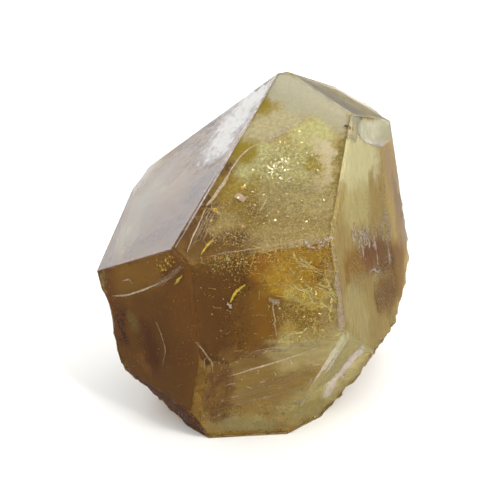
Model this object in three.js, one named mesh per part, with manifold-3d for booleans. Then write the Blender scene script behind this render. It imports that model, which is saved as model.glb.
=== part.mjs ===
// Barite crystal: one blocky, single-ended crystal of clear honey barite, broken off flat below.
// Millimetres, +Z up. The origin is on the surface it stands on, under the middle of its box.

import * as THREE from "three";
import { mergeVertices } from "three/addons/utils/BufferGeometryUtils.js";
import Module from "manifold-3d";

// ---- driving dimensions ----------------------------------------------------------------

// Each flat face lies square to a line that runs out from the middle of the crystal.
// turn: degrees round the crystal, 0 towards the front (-Y), positive towards the right (+X).
// tilt: degrees that the line climbs. reach: millimetres from the middle to the face.
const MIDDLE = new THREE.Vector3(0, -0.4, 26);

const FACES = {
  // the pointed end
  frontCrown: { turn: -7.5, tilt: 50, reach: 19.1 },
  leftCrown: { turn: -74, tilt: 46, reach: 18.3 },
  rightCrown: { turn: 98, tilt: 60, reach: 27.5 },
  rearLeftCrown: { turn: -136, tilt: 49, reach: 22.8 },
  rearCrown: { turn: 173.5, tilt: 62, reach: 31.1 },
  rearRightCrown: { turn: 99.5, tilt: 25, reach: 31 },
  tipNick: { turn: -158, tilt: 61.5, reach: 26.8 },

  // the upright sides
  frontSide: { turn: 3.5, tilt: 0, reach: 20.9 },
  leftSide: { turn: -43.5, tilt: -4, reach: 23.4 },
  rightSide: { turn: 70.5, tilt: 7.5, reach: 17.7 },
  farRightSide: { turn: 122, tilt: 12.5, reach: 30.6 },
  rearSide: { turn: -176.5, tilt: 0, reach: 20.9 },
  rearLeftSide: { turn: -113.5, tilt: -14, reach: 21.9 },

  // the undercut faces that narrow it down to its foot
  frontUndercut: { turn: 6.5, tilt: -14, reach: 22.5 },
  cornerStrip: { turn: -12, tilt: -11.5, reach: 24.3 },
  leftUndercut: { turn: -49.5, tilt: -29.5, reach: 28.7 },
  leftFoot: { turn: -86.5, tilt: -55, reach: 28.8 },
  rightUndercut: { turn: 47, tilt: -26, reach: 24 },
  farRightUndercut: { turn: 87.5, tilt: -16.5, reach: 27.6 },
  rightFlank: { turn: 71, tilt: -31.5, reach: 25.4 },
  rightHeel: { turn: 70.5, tilt: -38, reach: 25.9 },
  rightFoot: { turn: 68, tilt: -47, reach: 28.1 },

  // the flat break that it stands on
  base: { turn: 0, tilt: -90, reach: MIDDLE.z },
};

// Shell-shaped chips. at: the middle of the chip, on the surface. turn and tilt: the way it
// faces. across and along: half its size level and up the slope. roll: degrees that it is
// turned in its own face. depth: how far it bites.
const CHIPS = {
  scallopUnderCrown: {
    at: [18.1, 4.2, 45.2], turn: 70.5, tilt: 7.5, roll: -16, across: 10.5, along: 3.2, depth: 0.6,
  },
  leftCornerStep: {
    at: [-25.5, -7.7, 17.4], turn: -74, tilt: -8, roll: 0, across: 5, along: 3.8, depth: 0.7,
  },
  rightUndercutStep: {
    at: [15.2, -11.7, 9.4], turn: 52, tilt: -22, roll: 0, across: 4, along: 3, depth: 0.8,
  },
  rightUndercutShell: {
    at: [11.4, -13.9, 7], turn: 47, tilt: -26, roll: 0, across: 3.4, along: 2.2, depth: 0.5,
  },
  rightEdgeFlake: {
    at: [24.7, 10.1, 10.8], turn: 80, tilt: -15, roll: 0, across: 4.5, along: 3, depth: 0.8,
  },
  rearShell: {
    at: [6, 20.3, 16], turn: -176.5, tilt: 0, roll: 12, across: 11, along: 7, depth: 0.9,
  },
  rearLeftShell: {
    at: [-18.6, 13.6, 30.5], turn: -134, tilt: 12, roll: -20, across: 7, along: 4.5, depth: 0.8,
  },
};

// A chip is the end of a flattened ball, BALL_DEPTHS chip depths from its middle to its end.
const BALL_DEPTHS = 5;
const BALL_STEPS = { round: 48, down: 24 };

// How near, in millimetres, two points or a point and a face are taken as one.
const TOUCH = 1e-4;

// ---- the block between its faces -------------------------------------------------------

// The direction that a face with this turn and tilt looks along.
function facing(turn, tilt) {
  const round = THREE.MathUtils.degToRad(turn);
  const climb = THREE.MathUtils.degToRad(tilt);
  return new THREE.Vector3(
    Math.sin(round) * Math.cos(climb),
    -Math.cos(round) * Math.cos(climb),
    Math.sin(climb),
  );
}

// The one point that three planes share, or null where they share none.
function meetingPoint(a, b, c) {
  const acrossBC = new THREE.Vector3().crossVectors(b.normal, c.normal);
  const acrossCA = new THREE.Vector3().crossVectors(c.normal, a.normal);
  const acrossAB = new THREE.Vector3().crossVectors(a.normal, b.normal);
  const spread = a.normal.dot(acrossBC);
  if (Math.abs(spread) < TOUCH) return null;
  return acrossBC.multiplyScalar(-a.constant)
    .addScaledVector(acrossCA, -b.constant)
    .addScaledVector(acrossAB, -c.constant)
    .divideScalar(spread);
}

// The corners of the block: every meeting point of three planes that no other plane cuts off.
function blockCorners(planes) {
  const corners = [];
  for (let i = 0; i < planes.length; i++) {
    for (let j = i + 1; j < planes.length; j++) {
      for (let k = j + 1; k < planes.length; k++) {
        const point = meetingPoint(planes[i], planes[j], planes[k]);
        if (!point) continue;
        if (planes.some((plane) => plane.distanceToPoint(point) > TOUCH)) continue;
        if (corners.some((corner) => corner.distanceTo(point) < TOUCH)) continue;
        corners.push(point);
      }
    }
  }
  return corners;
}

// The numbers of the corners that lie on one plane, in order round it, as seen from outside.
function outlineOn(plane, corners) {
  const onPlane = [];
  const centre = new THREE.Vector3();
  corners.forEach((corner, number) => {
    if (Math.abs(plane.distanceToPoint(corner)) > TOUCH) return;
    onPlane.push(number);
    centre.add(corner);
  });
  if (onPlane.length < 3) return [];
  centre.divideScalar(onPlane.length);

  const right = corners[onPlane[0]].clone().sub(centre).normalize();
  const up = new THREE.Vector3().crossVectors(plane.normal, right);
  const angle = (number) => {
    const arm = corners[number].clone().sub(centre);
    return Math.atan2(arm.dot(up), arm.dot(right));
  };
  return onPlane.sort((a, b) => angle(a) - angle(b));
}

function blockGeometry() {
  const planes = Object.values(FACES).map(({ turn, tilt, reach }) => {
    const normal = facing(turn, tilt);
    const point = MIDDLE.clone().addScaledVector(normal, reach);
    return new THREE.Plane().setFromNormalAndCoplanarPoint(normal, point);
  });
  const corners = blockCorners(planes);

  const triangles = [];
  for (const plane of planes) {
    const outline = outlineOn(plane, corners);
    for (let i = 1; i + 1 < outline.length; i++) {
      triangles.push(outline[0], outline[i], outline[i + 1]);
    }
  }
  const geometry = new THREE.BufferGeometry();
  geometry.setAttribute(
    "position",
    new THREE.Float32BufferAttribute(corners.flatMap((corner) => corner.toArray()), 3),
  );
  geometry.setIndex(triangles);
  return geometry;
}

// ---- the chips ---------------------------------------------------------------------------

// The ball stands off the surface so that only its end, with the chip's mouth, reaches in.
function chipGeometry({ at, turn, tilt, roll, across, along, depth }) {
  const deep = BALL_DEPTHS * depth;
  const standOff = deep - depth;
  const mouth = Math.sqrt(1 - (standOff / deep) ** 2);
  const centre = new THREE.Vector3(...at).addScaledVector(facing(turn, tilt), standOff);

  const geometry = new THREE.SphereGeometry(1, BALL_STEPS.round, BALL_STEPS.down);
  geometry.scale(across / mouth, along / mouth, deep);
  geometry.rotateZ(THREE.MathUtils.degToRad(roll));
  geometry.rotateX(THREE.MathUtils.degToRad(90 - tilt));
  geometry.rotateZ(THREE.MathUtils.degToRad(turn));
  geometry.translate(centre.x, centre.y, centre.z);
  return geometry;
}

// ---- cutting -----------------------------------------------------------------------------

const wasm = await Module();
wasm.setup();

function toSolid(geometry) {
  const bare = geometry.clone();
  bare.deleteAttribute("normal");
  bare.deleteAttribute("uv");
  const merged = mergeVertices(bare, TOUCH);
  return new wasm.Manifold(new wasm.Mesh({
    numProp: 3,
    vertProperties: new Float32Array(merged.attributes.position.array),
    triVerts: new Uint32Array(merged.index.array),
  }));
}

function toGeometry(solid) {
  const { vertProperties, triVerts } = solid.getMesh();
  const geometry = new THREE.BufferGeometry();
  geometry.setAttribute("position", new THREE.BufferAttribute(vertProperties, 3));
  geometry.setIndex(new THREE.BufferAttribute(triVerts, 1));
  geometry.computeVertexNormals();
  return geometry;
}

// ---- the crystal -------------------------------------------------------------------------

let solid = toSolid(blockGeometry());
for (const chip of Object.values(CHIPS)) {
  solid = solid.subtract(toSolid(chipGeometry(chip)));
}

const barite = new THREE.MeshStandardMaterial({
  name: "honey barite",
  color: 0x8a6a2c,
  roughness: 0.1,
  metalness: 0,
});

const crystal = new THREE.Mesh(toGeometry(solid), barite);
crystal.name = "crystal";

const group = new THREE.Group();
group.add(crystal);

export default group;
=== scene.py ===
"""A clear honey-brown barite crystal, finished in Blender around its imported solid.

The crystal is one piece. What is sealed in it (veils of tiny bubbles, healed cracks, gold needles) is
made piece by piece after it, each in the place where it grew. Lengths are in millimetres times MM, in
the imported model's own frame: X to the right, Y to the back, Z up.
"""

import math

import bpy
import numpy as np
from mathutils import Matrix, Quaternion, Vector
from mathutils.bvhtree import BVHTree


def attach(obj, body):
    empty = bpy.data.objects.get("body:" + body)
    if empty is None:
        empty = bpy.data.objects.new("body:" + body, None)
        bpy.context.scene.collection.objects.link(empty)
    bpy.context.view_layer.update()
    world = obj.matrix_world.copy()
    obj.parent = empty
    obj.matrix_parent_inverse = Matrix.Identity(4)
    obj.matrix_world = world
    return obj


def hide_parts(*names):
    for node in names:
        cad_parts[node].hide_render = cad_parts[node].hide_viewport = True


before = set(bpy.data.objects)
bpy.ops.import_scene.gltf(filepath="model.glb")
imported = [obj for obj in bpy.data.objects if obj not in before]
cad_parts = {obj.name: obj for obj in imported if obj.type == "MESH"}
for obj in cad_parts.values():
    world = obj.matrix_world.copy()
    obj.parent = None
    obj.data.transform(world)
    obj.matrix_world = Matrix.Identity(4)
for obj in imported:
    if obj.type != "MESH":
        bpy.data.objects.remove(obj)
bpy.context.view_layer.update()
bpy.ops.object.select_all(action="DESELECT")


# --- The crystal ------------------------------------------------------------------------------
# One single-ended crystal of clear barite, honey brown all through. It grew in one piece: smooth
# growth faces, softened edges, an etched and broken foot, and shell-shaped chips. Its back and its
# base are frosted, as faces are that grew against rock.
MM = 0.001
CAD_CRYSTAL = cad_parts["crystal"]
GRAIN_DEPTH, GRAIN_SCALE = 8, 0.60  # makes the points of the finished mesh lie 0.36 mm apart
FLAT_AREA = 20 * MM * MM  # a growth face is larger than this, a facet of a chip is smaller


def take(piece):
    """Select this one object and make it the active one."""
    bpy.ops.object.select_all(action="DESELECT")
    piece.select_set(True)
    bpy.context.view_layer.objects.active = piece
    return piece


def merged_copy(name):
    """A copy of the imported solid, with its loose triangles joined."""
    twin = CAD_CRYSTAL.copy()
    twin.data = CAD_CRYSTAL.data.copy()
    twin.name = name
    twin.parent = None
    bpy.context.scene.collection.objects.link(twin)
    take(twin)
    bpy.ops.object.mode_set(mode="EDIT")
    bpy.ops.mesh.select_all(action="SELECT")
    bpy.ops.mesh.remove_doubles(threshold=1e-6)
    bpy.ops.object.mode_set(mode="OBJECT")
    return twin


def finish_modifiers(piece):
    """Apply every modifier on a piece, from the first to the last."""
    take(piece)
    for modifier in list(piece.modifiers):
        bpy.ops.object.modifier_apply(modifier=modifier.name)


pattern = merged_copy("pattern")
bpy.ops.object.mode_set(mode="EDIT")
bpy.ops.mesh.dissolve_limited(angle_limit=math.radians(0.6))
bpy.ops.object.mode_set(mode="OBJECT")
flats = []  # the growth faces, each as a point on it and the way it looks
for facet in pattern.data.polygons:
    if facet.area > FLAT_AREA and all(facet.normal.dot(n) < 0.9999 for _, n in flats):
        flats.append((facet.center.copy(), facet.normal.copy()))
bpy.data.objects.remove(pattern)


def growth_face(turn, tilt):
    """The flat face that looks this many degrees round from the front, and this many degrees up."""
    turn, tilt = math.radians(turn), math.radians(tilt)
    out = Vector((math.sin(turn) * math.cos(tilt), -math.cos(turn) * math.cos(tilt), math.sin(tilt)))
    return max(flats, key=lambda flat: flat[1].dot(out))


FRONT_CROWN = growth_face(-7.5, 50)
LEFT_CROWN = growth_face(-74, 46)
RIGHT_CROWN = growth_face(98, 60)
FRONT_SIDE = growth_face(3.5, 0)
LEFT_SIDE = growth_face(-43.5, -4)
RIGHT_SIDE = growth_face(70.5, 7.5)
FRONT_UNDERCUT = growth_face(6.5, -14)
RIGHT_UNDERCUT = growth_face(47, -26)
REAR_SIDE = growth_face(-176.5, 0)
BASE = growth_face(0, -90)

solid = merged_copy("solid")
crystal = merged_copy("crystal_clear")
remesh = crystal.modifiers.new("even grain", "REMESH")
remesh.mode = "SHARP"
remesh.octree_depth = GRAIN_DEPTH
remesh.scale = GRAIN_SCALE
remesh.use_remove_disconnected = False
snap = crystal.modifiers.new("back onto the faces", "SHRINKWRAP")
snap.wrap_method = "NEAREST_SURFACEPOINT"
snap.target = solid
finish_modifiers(crystal)

spots = np.array([v.co for v in crystal.data.vertices])
below = np.stack([(spots - np.array(c)) @ np.array(n) for c, n in flats], axis=1)
nearest = below.argmax(axis=1)
second = np.sort(below, axis=1)[:, -2]
from_edge = -second / MM
in_chip = np.clip((-below.max(axis=1) / MM - 0.05) / 0.2, 0, 1)


def on_face(face):
    """1 at the points of one growth face and 0 elsewhere."""
    return (nearest == flats.index(face)).astype(float)


def ramp(values, start, end):
    """0 at start, 1 at end, smooth between."""
    share = np.clip((values - start) / (end - start), 0, 1)
    return share * share * (3 - 2 * share)


def around(centre, reach, fade):
    """1 within reach of a point in mm, falling to 0 over fade more."""
    away = np.linalg.norm(spots / MM - np.array(centre), axis=1)
    return ramp(away, reach + fade, reach)


height = spots[:, 2] / MM
backward = spots[:, 1] / MM
rightward = spots[:, 0] / MM
foot_band = ramp(height, 13, 2)
lower_faces = on_face(RIGHT_UNDERCUT) + 0.25 * on_face(FRONT_UNDERCUT) + on_face(growth_face(70.5, -38))
lower_faces += on_face(growth_face(87.5, -16.5)) + on_face(growth_face(71, -31.5))
lower_faces = np.clip(lower_faces, 0, 1)
off_base = 1 - on_face(BASE)
hammered = on_face(LEFT_CROWN) * around((-6.5, 0.5, 44.8), 6.0, 6.0) * ramp(from_edge, 0.2, 0.8)
rough_side = ramp(height, 34, 24) * on_face(growth_face(87.5, -16.5))
rough_side += ramp(height, 36, 26) * on_face(growth_face(122, 12.5))
broken = np.clip(lower_faces * (0.35 + 0.65 * foot_band) + 0.5 * foot_band, 0, 1)
broken *= off_base * ramp(height, 0.1, 1.2)
worn = ramp(from_edge, 1.3, 0.2) * off_base * ramp(height, 0.1, 1.2)
ragged = worn * ramp(rightward, 16, 20) * ramp(height, 36, 26)
ragged = np.maximum(ragged, worn * ramp(rightward, -8, -14) * ramp(height, 22, 12))
ragged = np.maximum(ragged, ramp(from_edge, 1.5, 0.2) * on_face(RIGHT_CROWN) * ramp(backward, 8, 12))
rear = 0.9 * ramp(backward, 4, 12)

RELIEF = [  # what it is, where, kind of pattern, its size in mm, its height in mm
    ("slow swell of the faces", off_base * ramp(from_edge, 0.2, 3), "CLOUDS", 7.0, 0.10),
    ("hammered etching", hammered, "CLOUDS", 1.1, 0.36),
    ("dimpled upper left face", on_face(LEFT_CROWN) * ramp(from_edge, 0.2, 1.5), "CLOUDS", 2.6, 0.10),
    ("rippled chips", in_chip * off_base, "CLOUDS", 1.5, 0.45),
    ("rough right side", rough_side * ramp(from_edge, 0, 1), "CLOUDS", 2.0, 0.8),
    ("broken foot", broken, "CLOUDS", 2.6, 1.9),
    ("fine breakage", broken, "VORONOI", 1.1, 0.45),
    ("nicked edges", worn, "CLOUDS", 0.8, 0.06),
    ("ragged right and lower left edges", ragged, "CLOUDS", 1.4, 0.7),
    ("etched back", rear * off_base * ramp(from_edge, 0.2, 1), "CLOUDS", 1.6, 0.14),
]


def weigh(piece, label, share):
    """Keep a share from 0 to 1 for each point of a piece, as a vertex group."""
    steps = 20  # the points of one level are added all at once, which is faster than one by one
    group = piece.vertex_groups.new(name=label)
    levels = np.round(np.clip(share, 0, 1) * steps).astype(int)
    for level in range(1, steps + 1):
        group.add(np.nonzero(levels == level)[0].tolist(), level / steps, "REPLACE")


for label, share, kind, size, tall in RELIEF:
    weigh(crystal, label, share)
    texture = bpy.data.textures.new(label, kind)
    texture.noise_scale = size * MM
    modifier = crystal.modifiers.new(label, "DISPLACE")
    modifier.texture = texture
    modifier.texture_coords = "LOCAL"
    modifier.vertex_group = label
    modifier.strength = tall * MM
    modifier.mid_level = 0.62  # above the middle, so that the relief carves in more than it builds up
finish_modifiers(crystal)
crystal.vertex_groups.clear()
bpy.ops.object.shade_smooth_by_angle(angle=math.radians(24))

frost = np.clip(0.75 * rear + 0.9 * on_face(BASE) + 0.55 * broken + 0.9 * in_chip, 0, 1)
frost = np.clip(frost + 0.06 * ramp(from_edge, 0.3, 0.1) + 0.5 * on_face(RIGHT_CROWN), 0, 1)
layer = crystal.data.attributes.new("frost", "FLOAT", "POINT")
layer.data.foreach_set("value", frost.astype(np.float32))


def linear(shade):
    """An sRGB hex colour as the linear RGBA that the nodes take."""
    parts = [int(shade[i : i + 2], 16) / 255 for i in (1, 3, 5)]
    return [p / 12.92 if p <= 0.04045 else ((p + 0.055) / 1.055) ** 2.4 for p in parts] + [1]


def add_node(tree, kind, settings=None, links=None):
    """Add one node, set its settings, and set or link each input in links."""
    made = tree.nodes.new(kind)
    for name, value in (settings or {}).items():
        setattr(made, name, value)
    for name, value in (links or {}).items():
        if isinstance(value, bpy.types.NodeSocket):
            tree.links.new(value, made.inputs[name])
        else:
            made.inputs[name].default_value = value
    return made


def new_material(name):
    """An empty material: its tree, its shader and its output."""
    material = bpy.data.materials.new(name)
    material.use_nodes = True
    tree = material.node_tree
    return material, tree, tree.nodes["Principled BSDF"], tree.nodes["Material Output"]


# Barite, clear and honey brown: glossy where it grew freely and satin where it is etched. Thin parts
# look straw yellow and thick parts golden brown, because blue light is taken up first.
BARITE_IOR = 1.60
material, tree, shader, output = new_material("honey barite, grown and etched")
place = add_node(tree, "ShaderNodeTexCoord").outputs["Object"]
frosted = add_node(tree, "ShaderNodeAttribute", {"attribute_name": "frost"}).outputs["Fac"]
etch = add_node(tree, "ShaderNodeTexNoise", links={"Vector": place, "Scale": 1 / (0.5 * MM), "Detail": 5})
uneven = add_node(
    tree, "ShaderNodeMapRange",
    links={"Value": etch.outputs["Fac"], "From Min": 0.3, "From Max": 0.7, "To Min": 0.55, "To Max": 1.0},
)
rough = add_node(
    tree, "ShaderNodeMath", {"operation": "MULTIPLY_ADD"},
    {0: frosted, 1: uneven.outputs["Result"], 2: 0.02},
)
bump_height = add_node(
    tree, "ShaderNodeMath", {"operation": "MULTIPLY"}, {0: etch.outputs["Fac"], 1: frosted}
)
bump = add_node(
    tree, "ShaderNodeBump",
    links={"Height": bump_height.outputs["Value"], "Strength": 0.5, "Distance": 0.08 * MM},
)
tree.links.new(rough.outputs["Value"], shader.inputs["Roughness"])
tree.links.new(bump.outputs["Normal"], shader.inputs["Normal"])
shader.inputs["Base Color"].default_value = linear("#ffffff")
shader.inputs["Transmission Weight"].default_value = 1.0
shader.inputs["IOR"].default_value = BARITE_IOR
honey = add_node(tree, "ShaderNodeVolumeAbsorption")
honey.inputs["Color"].default_value = linear("#e7d457")
honey.inputs["Density"].default_value = 84.5  # for each metre of path, so 5 cm of crystal turns golden
tree.links.new(honey.outputs["Volume"], output.inputs["Volume"])
crystal.data.materials.clear()
crystal.data.materials.append(material)
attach(crystal, "root")
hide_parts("crystal")


# --- Veils under the faces ------------------------------------------------------------------------
# Clouds of tiny fluid bubbles and healed cracks that froze in flat layers parallel to the growth
# faces, a millimetre or two under them. Each is a thin, slightly wavy sheet with its own closed
# outline: dense and milky in some places, and nearly gone in others.
EYE = Vector((-2.13, -218.28, 105.11)) * MM  # a sheet ends where its face's edge seems to be from here
SEALED_UNDER = 0.08  # mm of clear crystal over anything that is sealed in it
FADE = 0.06  # mm from its border over which a film fades in
skin = BVHTree.FromPolygons(
    [v.co for v in crystal.data.vertices], [p.vertices for p in crystal.data.polygons]
)


def depth_under_skin(spot):
    """How deep a point lies in the crystal, and the way straight out from there."""
    surface, outward, _, _ = skin.find_nearest(spot)
    return (surface - spot).dot(outward), outward


UNDER_CORNER, LEFT_CORNER = growth_face(-12, -11.5), growth_face(-49.5, -29.5)
VEIL_DEPTHS = [  # the faces that have a veil, and how deep it lies in mm
    (FRONT_CROWN, 1.5), (FRONT_SIDE, 1.4), (RIGHT_SIDE, 0.8), (FRONT_UNDERCUT, 1.3), (RIGHT_UNDERCUT, 1.4),
    (LEFT_SIDE, 1.4), (UNDER_CORNER, 1.0), (RIGHT_CROWN, 0.5), (REAR_SIDE, 2.0),
    (LEFT_CORNER, 0.8),
]


def flat_sheet(name, face, depth, cell, laps=()):
    """A flat sheet at a depth in mm under a face.

    Where it is one of the veils it meets the veils of the faces round about, and otherwise it ends
    below its face's own edges. laps are (face, depth in mm) where it runs on past another veil.
    """
    centre, normal = face
    width = 90  # mm, wider than any cut through the crystal
    widest_gap = 1.5  # mm, however steep the line of sight is
    bpy.ops.mesh.primitive_plane_add(
        size=width * MM,
        location=centre - normal * depth * MM,
        rotation=normal.to_track_quat("Z", "Y").to_euler(),
    )
    sheet = bpy.context.object
    sheet.name = name
    bpy.ops.object.transform_apply(location=True, rotation=True, scale=True)
    bpy.ops.object.mode_set(mode="EDIT")
    bpy.ops.mesh.subdivide(number_cuts=int(width / cell))
    borders, ends = [], []
    is_veil = any(face is veiled and depth == deep for veiled, deep in VEIL_DEPTHS)
    gaze = (centre - EYE).normalized()
    slant = -gaze.dot(normal) / BARITE_IOR
    inside = gaze / BARITE_IOR
    if slant > 0:
        inside += (slant - math.sqrt(1 - (1 / BARITE_IOR) ** 2 + slant**2)) * normal
    for other_centre, other_normal in flats:
        if other_normal is normal:
            continue
        met = [deep for veiled, deep in VEIL_DEPTHS if veiled[1] is other_normal and is_veil]
        gap = 0.15  # mm that a sheet keeps at least from another face
        if slant > 0:
            gap = max(gap, depth * inside.dot(other_normal) / inside.dot(normal))
        gap = met[0] if met else min(gap, widest_gap)
        for lapped, clearance in laps:
            if lapped[1] is other_normal:
                gap = clearance
        border = other_centre - other_normal * gap * MM
        borders.append((border, other_normal))
        if not met:
            ends.append((border, other_normal))
        bpy.ops.mesh.select_all(action="SELECT")
        bpy.ops.mesh.bisect(plane_co=border, plane_no=other_normal, clear_outer=True)
    bpy.ops.mesh.select_all(action="DESELECT")
    bpy.ops.object.mode_set(mode="OBJECT")
    away, calm = [], []
    for vertex in sheet.data.vertices:
        under = depth_under_skin(vertex.co)[0] - SEALED_UNDER * MM
        vertex.select = under < 0
        if under >= 0:
            away.append(min([under] + [(border - vertex.co).dot(out) for border, out in ends]) / MM)
            calm.append(min((border - vertex.co).dot(out) for border, out in borders) / MM)
    bpy.ops.object.mode_set(mode="EDIT")
    bpy.ops.mesh.delete(type="VERT")
    bpy.ops.object.mode_set(mode="OBJECT")
    layer = sheet.data.attributes.new("from_edge", "FLOAT", "POINT")
    layer.data.foreach_set("value", np.array(away, np.float32))
    weigh(sheet, "waving", np.array(calm) / 2)
    return sheet


def veil(name, face, depth, cell, wave, finish, laps=()):
    """A thin-walled veil at a depth in mm under a face, with a gentle wave of a height in mm."""
    sheet = flat_sheet(name, face, depth, cell, laps)
    texture = bpy.data.textures.new(name, "CLOUDS")
    texture.noise_scale = 5 * MM
    modifier = sheet.modifiers.new("wave", "DISPLACE")
    modifier.texture = texture
    modifier.texture_coords = "LOCAL"
    modifier.strength = wave * MM
    modifier.vertex_group = "waving"
    modifier = sheet.modifiers.new("wall", "SOLIDIFY")
    modifier.thickness = 0.03 * MM
    modifier.offset = 0
    finish_modifiers(sheet)
    bpy.ops.object.shade_smooth()
    sheet.data.materials.append(finish)
    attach(sheet, "root")


def clouded(name, ground, patches, grain=0.5, stretch=(1, 1, 1), drift=3.6):
    """Milky film of bubbles, as patches on a ground, each with its own cover and grit.

    ground is (colour, cover, grit), and a patch is (points, reach and soft edge in mm, colour, cover,
    grit): round about one point, or a band from one point to another. Grit is a fine light and dark
    grain, stretched along the axes where stretch is under 1. The outlines wander by up to drift mm.
    """
    material, tree, shader, _ = new_material(name)
    place = add_node(tree, "ShaderNodeTexCoord").outputs["Object"]
    swirl = add_node(
        tree, "ShaderNodeTexNoise", {},
        {"Vector": place, "Scale": 1 / (3.5 * MM), "Detail": 6, "Roughness": 0.72},
    )
    swing = add_node(
        tree, "ShaderNodeVectorMath", {"operation": "MULTIPLY_ADD"},
        {0: swirl.outputs["Color"], 1: (2 * drift * MM,) * 3, 2: place},
    )
    where = add_node(
        tree, "ShaderNodeVectorMath", {"operation": "SUBTRACT"}, {0: swing.outputs[0], 1: (drift * MM,) * 3}
    ).outputs[0]
    colour, cover, grit = linear(ground[0]), ground[1], ground[2]
    for points, reach, soft, shade, amount, coarse in patches:
        start, run = Vector(points[0]) * MM, (Vector(points[-1]) - Vector(points[0])) * MM
        off = add_node(
            tree, "ShaderNodeVectorMath", {"operation": "SUBTRACT"}, {0: where, 1: start}
        ).outputs[0]
        if len(points) > 1:
            along = add_node(
                tree, "ShaderNodeVectorMath", {"operation": "DOT_PRODUCT"},
                {0: off, 1: run / run.length_squared},
            ).outputs["Value"]
            along = add_node(
                tree, "ShaderNodeMath", {"operation": "ADD", "use_clamp": True}, {0: along, 1: 0.0}
            ).outputs[0]
            foot = add_node(
                tree, "ShaderNodeVectorMath", {"operation": "SCALE"}, {0: run, "Scale": along}
            ).outputs[0]
            off = add_node(
                tree, "ShaderNodeVectorMath", {"operation": "SUBTRACT"}, {0: off, 1: foot}
            ).outputs[0]
        away = add_node(tree, "ShaderNodeVectorMath", {"operation": "LENGTH"}, {0: off}).outputs["Value"]
        share = add_node(
            tree, "ShaderNodeMapRange", {"interpolation_type": "SMOOTHSTEP"},
            {"Value": away, "From Min": (reach + soft) * MM, "From Max": reach * MM},
        ).outputs["Result"]
        colour = add_node(
            tree, "ShaderNodeMix", {"data_type": "RGBA"}, {0: share, 6: colour, 7: linear(shade)}
        ).outputs[2]
        cover = add_node(tree, "ShaderNodeMix", {}, {0: share, 2: cover, 3: amount}).outputs[0]
        grit = add_node(tree, "ShaderNodeMix", {}, {0: share, 2: grit, 3: coarse}).outputs[0]
    pulled = add_node(
        tree, "ShaderNodeVectorMath", {"operation": "MULTIPLY"}, {0: place, 1: stretch}
    ).outputs[0]
    fine = add_node(
        tree, "ShaderNodeTexNoise", {},
        {"Vector": pulled, "Scale": 1 / (grain * MM), "Detail": 3, "Roughness": 0.65},
    ).outputs["Fac"]
    lack = add_node(
        tree, "ShaderNodeMapRange", {}, {"Value": fine, "From Min": 0.64, "From Max": 0.36}
    ).outputs["Result"]
    lack = add_node(tree, "ShaderNodeMath", {"operation": "MULTIPLY"}, {0: lack, 1: grit}).outputs[0]
    bright = add_node(
        tree, "ShaderNodeMath", {"operation": "MULTIPLY_ADD"}, {0: lack, 1: -0.75, 2: 1.0}
    ).outputs[0]
    whole = add_node(
        tree, "ShaderNodeMath", {"operation": "MULTIPLY_ADD"}, {0: lack, 1: -0.25, 2: 1.0}
    ).outputs[0]
    rim = add_node(tree, "ShaderNodeAttribute", {"attribute_name": "from_edge"}).outputs["Fac"]
    rim = add_node(
        tree, "ShaderNodeMapRange", {"interpolation_type": "SMOOTHSTEP"}, {"Value": rim, "From Max": FADE}
    ).outputs["Result"]
    cover = add_node(tree, "ShaderNodeMath", {"operation": "MULTIPLY"}, {0: cover, 1: whole}).outputs[0]
    cover = add_node(
        tree, "ShaderNodeMath", {"operation": "MULTIPLY", "use_clamp": True}, {0: cover, 1: rim}
    ).outputs[0]
    tint = add_node(
        tree, "ShaderNodeHueSaturation", {}, {"Color": colour, "Value": bright}
    ).outputs["Color"]
    tree.links.new(tint, shader.inputs["Base Color"])
    tree.links.new(cover, shader.inputs["Alpha"])
    shader.inputs["Roughness"].default_value = 0.7
    return material


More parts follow.
